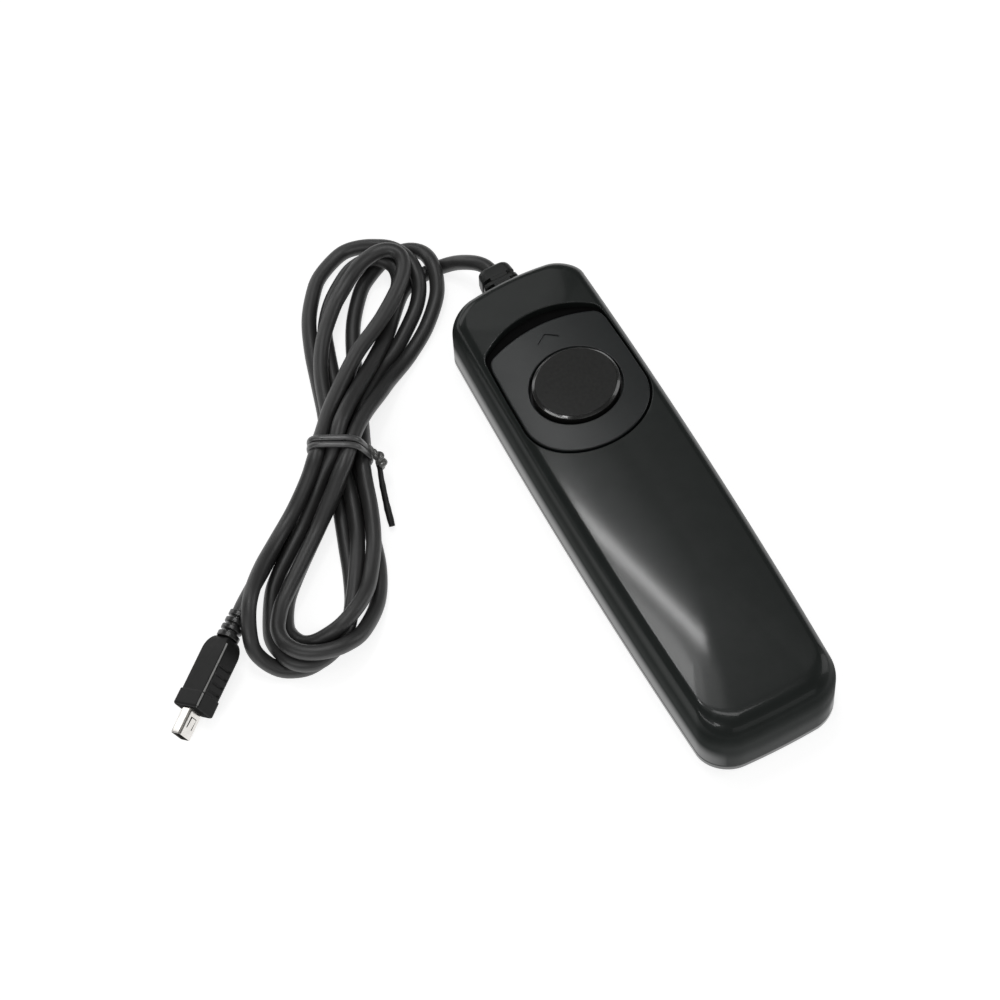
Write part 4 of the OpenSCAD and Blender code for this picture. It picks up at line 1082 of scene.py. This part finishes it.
def material(name, dark, light, rough=(0.4, 0.5), metallic=0.0, specular=0.5, tint_scale=60, rough_scale=40,
        grain=None, swell=None, coat=0.0, coat_rough=0.1, wear=None, stretch=(1, 1, 1), sheen=0.0):
    """Procedural material. dark and light are the two ends of its colour variation, rough its range of roughness.
    grain and swell are (scale, strength, distance) of a fine and a broad unevenness; wear is the (colour, amount) of rubbed edges."""
    m = bpy.data.materials.new(name)
    m.use_nodes = True
    nt = m.node_tree
    N, L = nt.nodes, nt.links
    b = N["Principled BSDF"]
    b.inputs["Metallic"].default_value = metallic
    b.inputs["Specular IOR Level"].default_value = specular
    b.inputs["Coat Weight"].default_value = coat
    b.inputs["Coat Roughness"].default_value = coat_rough
    b.inputs["Sheen Weight"].default_value = sheen
    co = N.new("ShaderNodeTexCoord")
    mp = N.new("ShaderNodeMapping")
    mp.inputs["Scale"].default_value = stretch
    L.new(co.outputs["Object"], mp.inputs["Vector"])

    def noise(scale, detail=3.0, rough_=0.55):
        n = N.new("ShaderNodeTexNoise")
        n.inputs["Scale"].default_value = scale
        n.inputs["Detail"].default_value = detail
        n.inputs["Roughness"].default_value = rough_
        L.new(mp.outputs["Vector"], n.inputs["Vector"])
        return n.outputs["Fac"]

    ramp = N.new("ShaderNodeValToRGB")
    ramp.color_ramp.elements[0].position, ramp.color_ramp.elements[1].position = 0.15, 0.85
    ramp.color_ramp.elements[0].color = (*dark, 1)
    ramp.color_ramp.elements[1].color = (*light, 1)
    L.new(noise(tint_scale, 4.0), ramp.inputs["Fac"])
    colour = ramp.outputs["Color"]
    if wear:
        geo = N.new("ShaderNodeNewGeometry")
        edge = N.new("ShaderNodeMapRange")
        edge.inputs["From Min"].default_value, edge.inputs["From Max"].default_value = 0.53, 0.62
        edge.inputs["To Min"].default_value, edge.inputs["To Max"].default_value = 0.0, wear[1]
        L.new(geo.outputs["Pointiness"], edge.inputs["Value"])
        broken = N.new("ShaderNodeMath")
        broken.operation = "MULTIPLY"
        L.new(edge.outputs["Result"], broken.inputs[0])
        L.new(noise(420, 5.0, 0.7), broken.inputs[1])
        mix = N.new("ShaderNodeMix")
        mix.data_type = "RGBA"
        L.new(broken.outputs["Value"], mix.inputs["Factor"])
        L.new(colour, mix.inputs["A"])
        mix.inputs["B"].default_value = (*wear[0], 1)
        colour = mix.outputs["Result"]
    L.new(colour, b.inputs["Base Color"])
    r = N.new("ShaderNodeMapRange")
    r.inputs["From Min"].default_value, r.inputs["From Max"].default_value = 0.1, 0.9
    r.inputs["To Min"].default_value, r.inputs["To Max"].default_value = rough
    L.new(noise(rough_scale, 4.0, 0.6), r.inputs["Value"])
    L.new(r.outputs["Result"], b.inputs["Roughness"])
    last = None
    for spec in (swell, grain):
        if spec:
            bump = N.new("ShaderNodeBump")
            bump.inputs["Strength"].default_value = spec[1]
            bump.inputs["Distance"].default_value = spec[2]
            L.new(noise(spec[0], 2.0 if spec is swell else 3.0), bump.inputs["Height"])
            if last is not None:
                L.new(last, bump.inputs["Normal"])
            last = bump.outputs["Normal"]
    if last is not None:
        L.new(last, b.inputs["Normal"])
    return m


CASING = material("casing_black_abs", (0.0120, 0.0150, 0.0138), (0.0180, 0.0215, 0.0200), rough=(0.27, 0.34), specular=0.42,
    tint_scale=260, rough_scale=90, grain=(3000, 0.3, 0.00002), swell=(95, 0.06, 0.0002), coat=0.32, coat_rough=0.09,
    wear=((0.045, 0.05, 0.05), 0.4))


def polish(m, low=0.0120, high=0.0152, dull=0.26, coat=0.34, shine=(0.07, 0.22), foot=0.93):
    """The top of the casing is polished by handling; its walls keep the mould's matte grain."""
    N, L = m.node_tree.nodes, m.node_tree.links
    b = N["Principled BSDF"]
    co = N.new("ShaderNodeTexCoord")
    xyz = N.new("ShaderNodeSeparateXYZ")
    L.new(co.outputs["Object"], xyz.inputs["Vector"])

    def by_height(a, c, lo, hi):
        r = N.new("ShaderNodeMapRange")
        r.interpolation_type = "SMOOTHSTEP"
        r.inputs["From Min"].default_value, r.inputs["From Max"].default_value = lo, hi
        r.inputs["To Min"].default_value, r.inputs["To Max"].default_value = a, c
        L.new(xyz.outputs["Z"], r.inputs["Value"])
        return r.outputs["Result"]

    L.new(by_height(0.0, coat, low, high), b.inputs["Coat Weight"])
    gloss = N.new("ShaderNodeMath")
    gloss.operation = "ADD"
    L.new(by_height(shine[0], shine[1], low, high), gloss.inputs[0])
    aside = N.new("ShaderNodeMath")
    aside.operation = "ABSOLUTE"
    L.new(xyz.outputs["X"], aside.inputs[0])
    flank = N.new("ShaderNodeMapRange")
    flank.inputs["From Min"].default_value, flank.inputs["From Max"].default_value = 0.0105, 0.0135
    L.new(aside.outputs["Value"], flank.inputs["Value"])
    both = N.new("ShaderNodeMath")
    both.operation = "ADD"
    L.new(by_height(foot, 0.0, 0.0040, 0.0082), both.inputs[0])
    L.new(by_height(-0.05, 0.0, low, high), both.inputs[1])
    rim = N.new("ShaderNodeMath")
    rim.operation = "MULTIPLY"
    L.new(both.outputs["Value"], rim.inputs[0])
    L.new(flank.outputs["Result"], rim.inputs[1])
    L.new(rim.outputs["Value"], gloss.inputs[1])
    L.new(gloss.outputs["Value"], b.inputs["Specular IOR Level"])
    add = N.new("ShaderNodeMath")
    add.operation = "ADD"
    L.new(b.inputs["Roughness"].links[0].from_socket, add.inputs[0])
    matte = N.new("ShaderNodeMath")
    matte.operation = "MULTIPLY"
    L.new(by_height(dull, 0.0, low, high), matte.inputs[0])
    L.new(by_height(0.0, 1.0, 0.0040, 0.0082), matte.inputs[1])
    L.new(matte.outputs["Value"], add.inputs[1])
    L.new(add.outputs["Value"], b.inputs["Roughness"])
    return m


polish(CASING)
# near-black material painted where shade falls: painted shade on the casing's recess floor and on the plug grip's front
# face
SHADE_PAINT_BLACK = material("painted_shade_black", (0.0025, 0.0025, 0.0026), (0.0045, 0.0045, 0.0046), rough=(0.75, 0.9), specular=0.12,
    tint_scale=500, rough_scale=200, grain=(2200, 0.5, 0.00003))
COVER = material("cover_black_abs", (0.0100, 0.0120, 0.0115), (0.0150, 0.0175, 0.0168), rough=(0.26, 0.36), specular=0.8,
    tint_scale=240, rough_scale=120, grain=(2200, 0.3, 0.00002), coat=0.35, coat_rough=0.12, wear=((0.045, 0.05, 0.05), 0.4))
SLIDER = material("slide_black_abs", (0.0145, 0.0172, 0.0174), (0.0200, 0.0232, 0.0234), rough=(0.30, 0.38), specular=0.5,
    tint_scale=260, rough_scale=110, grain=(3000, 0.4, 0.00002), swell=(120, 0.05, 0.0002), wear=((0.05, 0.055, 0.055), 0.4))
BUTTON = material("button_black_matte", (0.0066, 0.0068, 0.0062), (0.0160, 0.0162, 0.0150), rough=(0.36, 0.46), specular=0.26,
    tint_scale=1400, rough_scale=500, grain=(2200, 0.6, 0.00003), coat=0.2, coat_rough=0.12)
BUTTON_EDGE = material("button_rim_gloss", (0.0066, 0.0068, 0.0062), (0.0160, 0.0162, 0.0150), rough=(0.20, 0.28), specular=0.6,
    tint_scale=1400, rough_scale=500, grain=(2200, 0.2, 0.00002), coat=0.75, coat_rough=0.06)
BOOT = material("boot_soft_black", (0.0110, 0.0125, 0.0120), (0.0180, 0.0198, 0.0190), rough=(0.36, 0.48), specular=0.45,
    tint_scale=500, rough_scale=300, grain=(2400, 0.4, 0.00003), wear=((0.03, 0.03, 0.03), 0.4))
CABLE = material("cable_pvc_black", (0.0240, 0.0240, 0.0239), (0.0340, 0.0340, 0.0338), rough=(0.38, 0.50), specular=0.80,
    tint_scale=300, rough_scale=160, grain=(2600, 0.3, 0.00002), swell=(260, 0.10, 0.0002))
TIE = material("tie_grey_pvc", (0.070, 0.070, 0.070), (0.115, 0.115, 0.115), rough=(0.24, 0.36), specular=0.9,
    tint_scale=600, rough_scale=300, grain=(2000, 0.3, 0.00003), swell=(700, 0.35, 0.0001))
# the knot, painted lighter than the tie and part metallic: a painted highlight for its glints
TIE_KNOT_HIGHLIGHT_PAINT = material("tie_knot_painted_highlight", (0.07, 0.07, 0.068), (0.30, 0.30, 0.29), rough=(0.18, 0.34), specular=0.9, metallic=0.35,
    tint_scale=900, rough_scale=500, grain=(1500, 0.5, 0.00004))
# the tie's tail, part of the same tie as the grey wraps, painted far darker: painted shade
TIE_TAIL_SHADE_PAINT = material("tie_tail_painted_shade", (0.008, 0.008, 0.008), (0.016, 0.016, 0.016), rough=(0.3, 0.42), specular=0.5,
    tint_scale=600, rough_scale=300, grain=(2000, 0.3, 0.00003), swell=(700, 0.35, 0.0001))
PLUG_MAT = material("plug_black_pvc", (0.0085, 0.0085, 0.0084), (0.0140, 0.0140, 0.0138), rough=(0.40, 0.50), specular=0.20,
    tint_scale=500, rough_scale=260, grain=(2400, 0.45, 0.00003), coat=0.06, coat_rough=0.2, wear=((0.05, 0.05, 0.05), 0.6))
# light grey painted on the bead along the plug grip's ridge: a painted highlight
PLUG_RIDGE_HIGHLIGHT_PAINT = material("plug_ridge_painted_highlight", (0.22, 0.22, 0.215), (0.40, 0.40, 0.39), rough=(0.22, 0.34), specular=0.6,
    tint_scale=700, rough_scale=300, grain=(2400, 0.3, 0.00002))
RELIEF = material("relief_black_pvc", (0.008, 0.008, 0.008), (0.014, 0.014, 0.014), rough=(0.26, 0.34), specular=1.0,
    tint_scale=500, rough_scale=260, grain=(1500, 0.05, 0.00001))
NICKEL = material("plug_nickel_plate", (0.70, 0.68, 0.65), (0.82, 0.80, 0.77), rough=(0.10, 0.24), metallic=1.0,
    tint_scale=300, rough_scale=700, grain=(1800, 0.12, 0.00002), swell=(500, 0.15, 0.00008), stretch=(1, 1, 1))
# darker nickel for the shell's ridge stripe, its inside and its rims: painted dark reflection and painted shade
NICKEL_SHADE_PAINT = material("plug_nickel_painted_shade", (0.22, 0.21, 0.19), (0.38, 0.365, 0.34), rough=(0.35, 0.5), metallic=1.0,
    tint_scale=300, rough_scale=700, grain=(1800, 0.2, 0.00002))
STEEL = material("screw_zinc_steel", (0.42, 0.43, 0.45), (0.58, 0.59, 0.60), rough=(0.25, 0.42), metallic=1.0,
    tint_scale=900, rough_scale=900, grain=(2600, 0.3, 0.00003), wear=((0.75, 0.75, 0.76), 0.6))
BRONZE = material("spring_bronze", (0.55, 0.33, 0.13), (0.70, 0.45, 0.20), rough=(0.22, 0.38), metallic=1.0,
    tint_scale=240, rough_scale=400, grain=(1200, 0.25, 0.00003), stretch=(1, 0.12, 1), wear=((0.85, 0.65, 0.35), 0.5))
SILVER = material("contact_silver", (0.72, 0.72, 0.74), (0.88, 0.88, 0.89), rough=(0.15, 0.32), metallic=1.0,
    tint_scale=900, rough_scale=1200, grain=(2600, 0.25, 0.00002))
GOLD = material("contact_gold", (0.80, 0.52, 0.18), (0.95, 0.70, 0.30), rough=(0.14, 0.28), metallic=1.0,
    tint_scale=900, rough_scale=900, grain=(2600, 0.2, 0.00002))
SOLDER = material("solder_tin", (0.50, 0.51, 0.53), (0.70, 0.71, 0.72), rough=(0.20, 0.45), metallic=1.0,
    tint_scale=900, rough_scale=1200, grain=(1500, 0.5, 0.00006))
ACETAL = material("frame_acetal", (0.60, 0.58, 0.53), (0.70, 0.68, 0.63), rough=(0.35, 0.50), specular=0.45,
    tint_scale=180, rough_scale=220, grain=(2000, 0.3, 0.00003), wear=((0.8, 0.79, 0.75), 0.4))
INNER = material("inner_dark_abs", (0.022, 0.023, 0.025), (0.036, 0.037, 0.040), rough=(0.42, 0.58), specular=0.45,
    tint_scale=260, rough_scale=220, grain=(2000, 0.4, 0.00003), wear=((0.10, 0.10, 0.11), 0.5))
PHENOLIC = material("leaf_insulator_phenolic", (0.13, 0.050, 0.018), (0.24, 0.105, 0.040), rough=(0.40, 0.60), specular=0.45,
    tint_scale=700, rough_scale=400, grain=(1400, 0.5, 0.00004), stretch=(1, 0.35, 2), wear=((0.35, 0.20, 0.10), 0.5))
WIRE_GREY = material("wire_grey_pvc", (0.50, 0.50, 0.48), (0.62, 0.62, 0.60), rough=(0.30, 0.45), tint_scale=500, rough_scale=300, grain=(2200, 0.3, 0.00002))
WIRE_YELLOW = material("wire_yellow_pvc", (0.62, 0.50, 0.03), (0.76, 0.63, 0.06), rough=(0.30, 0.45), tint_scale=500, rough_scale=300, grain=(2200, 0.3, 0.00002))
WIRE_RED = material("wire_red_pvc", (0.45, 0.020, 0.012), (0.58, 0.035, 0.022), rough=(0.30, 0.45), tint_scale=500, rough_scale=300, grain=(2200, 0.3, 0.00002))

CARRIED = {
    STEEL: ("case_screws", "frame_screws", "stack_screws", "clamp_screws", "clamp_plate"),
    ACETAL: ("slide_frame",),
    BRONZE: ("slide_friction_spring", "common_leaf", "focus_leaf", "release_leaf", "common_terminal", "focus_terminal"),
    SILVER: ("common_contact", "focus_contact", "release_contact"),
    GOLD: ("plug_contacts",),
    SOLDER: ("solder_joints",),
    INNER: ("switch_base", "cable_clamp", "plug_insulator"),
    PHENOLIC: ("leaf_insulators",),
    CABLE: ("cable_inner_end",),
    WIRE_GREY: ("ground_wire",),
    WIRE_YELLOW: ("focus_wire",),
    WIRE_RED: ("release_wire",),
}
for m, names in CARRIED.items():
    for k in names:
        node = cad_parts[k]
        node.data.materials.clear()
        node.data.materials.append(m)

# ------------------------------------------------------------------ pieces

piece("vis_top_shell", top_shell(), "handset", [CASING, SHADE_PAINT_BLACK], ["top_shell"])
piece("vis_bottom_cover", bottom_cover(), "handset", COVER, ["bottom_cover"])
piece("vis_lock_slide", lock_slide(), "lock_slide", SLIDER, ["lock_slide"])
piece("vis_shutter_button", shutter_button(), "shutter_button", [BUTTON, BUTTON_EDGE], ["shutter_button"])
piece("vis_cable_boot", cable_boot(), "handset", BOOT, ["cable_boot"])
grips = [
    piece("vis_strain_relief", strain_relief(), "handset", RELIEF, ["plug_strain_relief"]),
    piece("vis_plug_grip", plug_grip(), "handset", [PLUG_MAT, SHADE_PAINT_BLACK, PLUG_RIDGE_HIGHLIGHT_PAINT], ["plug_grip"]),
    piece("vis_plug_shell", plug_shell(), "handset", [NICKEL, NICKEL_SHADE_PAINT], ["plug_shell"]),
]
piece("vis_twist_tie", twist_tie(), "handset", TIE, ["twist_tie"])
knot, knot_end = tie_knot()
# the knot is painted lighter than the tie: painted highlight
piece("vis_tie_knot", knot, "handset", TIE_KNOT_HIGHLIGHT_PAINT, ["twist_tie_knot"])
# the tail is painted darker than the tie's wraps: painted shade
piece("vis_tie_tail", tie_tail(knot_end), "handset", TIE_TAIL_SHADE_PAINT, ["twist_tie_tail"])

fine = even(LINE, 0.8, close=False)
fine = np.c_[soften(fine, 1.0)]
fine[0], fine[-1] = LINE[0], LINE[-1]
cable = piece("vis_cable", sweep(fine, CORD_D / 2, 22), "handset", CABLE, ["cable_lead", "cable_hank", "cable_plug_lead"])

# ------------------------------------------------------------------ floor, light, camera

floor_mesh = bpy.data.meshes.new("floor")
floor_mesh.from_pydata([(-3, -3, 0), (3, -3, 0), (3, 3, 0), (-3, 3, 0)], [], [(0, 1, 2, 3)])
floor = bpy.data.objects.new("floor", floor_mesh)
bpy.context.scene.collection.objects.link(floor)
paper = material("floor_paper", (0.50, 0.50, 0.50), (0.54, 0.54, 0.54), rough=(0.75, 0.85), specular=0.2, tint_scale=8, rough_scale=10, grain=(900, 0.05, 0.00005))
paper.node_tree.nodes["Principled BSDF"].inputs["Emission Color"].default_value = (1, 1, 1, 1)
paper.node_tree.nodes["Principled BSDF"].inputs["Emission Strength"].default_value = 0.8
floor_mesh.materials.append(paper)


def area_light(name, at, look, size, radiance, along=None, colour=(1, 1, 1)):
    """A soft panel with a given brightness; along is the way its first side runs."""
    data = bpy.data.lights.new(name, "AREA")
    data.shape = "RECTANGLE"
    data.size, data.size_y = size
    data.energy = radiance * PI * size[0] * size[1]
    data.color = colour
    ob = bpy.data.objects.new(name, data)
    z = unit(np.array(at, float) - np.array(look, float))
    x = np.cross((0, 1, 0), z) if along is None else np.array(along, float)
    x = unit(x - (x @ z) * z)
    y = np.cross(z, x)
    ob.matrix_world = Matrix([[x[k], y[k], z[k], at[k]] for k in range(3)] + [[0, 0, 0, 1]])
    bpy.context.scene.collection.objects.link(ob)
    return ob


area_light("tube", (0.047, 0.262, 0.70), (0, 0, 0), (0.19, 0.016), 34, (0.85, -0.527, 0))
area_light("panel", (-0.031, 0.246, 0.70), (0, 0, 0), (0.08, 0.052), 10, (0.85, -0.527, 0))
area_light("panel_mid", (0.037, 0.204, 0.70), (0, 0, 0), (0.08, 0.052), 3.6, (0.85, -0.527, 0))
area_light("panel_end", (0.096, 0.167, 0.70), (0, 0, 0), (0.06, 0.06), 1.5, (0.85, -0.527, 0))
area_light("halo", (-0.012, 0.325, 0.70), (0, 0, 0), (0.07, 0.08), 0.8, (0.85, -0.527, 0))
area_light("strip", (0.053, -0.032, 0.70), (-0.07, 0, 0), (0.24, 0.07), 5, (0.611, -0.792, 0))
area_light("head_glow", (0.12, 0.62, 0.70), (0, 0.05, 0), (0.4, 0.3), 0.85)
area_light("side_glow", (0.33, 0.25, 0.70), (0, 0, 0), (0.22, 0.36), 0.3)
area_light("rim_left", (-0.55, -0.15, 0.50), (0, 0, 0), (0.50, 0.07), 5, (0.55, -0.83, 0))
area_light("rim_spark", (-0.38, -0.34, 0.60), (0, 0.04, 0), (0.12, 0.10), 9, (0.55, -0.83, 0))
area_light("top_left", (-0.08, 0.15, 0.70), (-0.08, 0, 0), (0.05, 0.05), 14)
area_light("fill_right", (0.75, -0.15, 0.35), (0, 0, 0), (0.5, 0.35), 1.6)
area_light("fill_back", (-0.25, 0.85, 0.35), (-0.02, 0, 0), (0.7, 0.3), 1.6)
area_light("fill_front", (0.1, -0.85, 0.5), (0, 0, 0), (0.7, 0.35), 0.8)

world = bpy.data.worlds.new("studio")
world.use_nodes = True
world.node_tree.nodes["Background"].inputs["Color"].default_value = (1, 1, 1, 1)
world.node_tree.nodes["Background"].inputs["Strength"].default_value = 0.12
bpy.context.scene.world = world
bpy.context.scene.view_settings.view_transform = "Standard"
bpy.context.scene.view_settings.look = "None"

cam_data = bpy.data.cameras.new("camera")
cam_data.sensor_width = 36.0
cam_data.lens = 142.65
cam_data.clip_start, cam_data.clip_end = 0.05, 20.0
cam = bpy.data.objects.new("camera", cam_data)
cam.location = (-0.16370, -0.29704, 0.65049)
cam.rotation_euler = tuple(math.radians(a) for a in (27.9321, 1.9105, -28.1458))
bpy.context.scene.collection.objects.link(cam)
bpy.context.scene.camera = cam
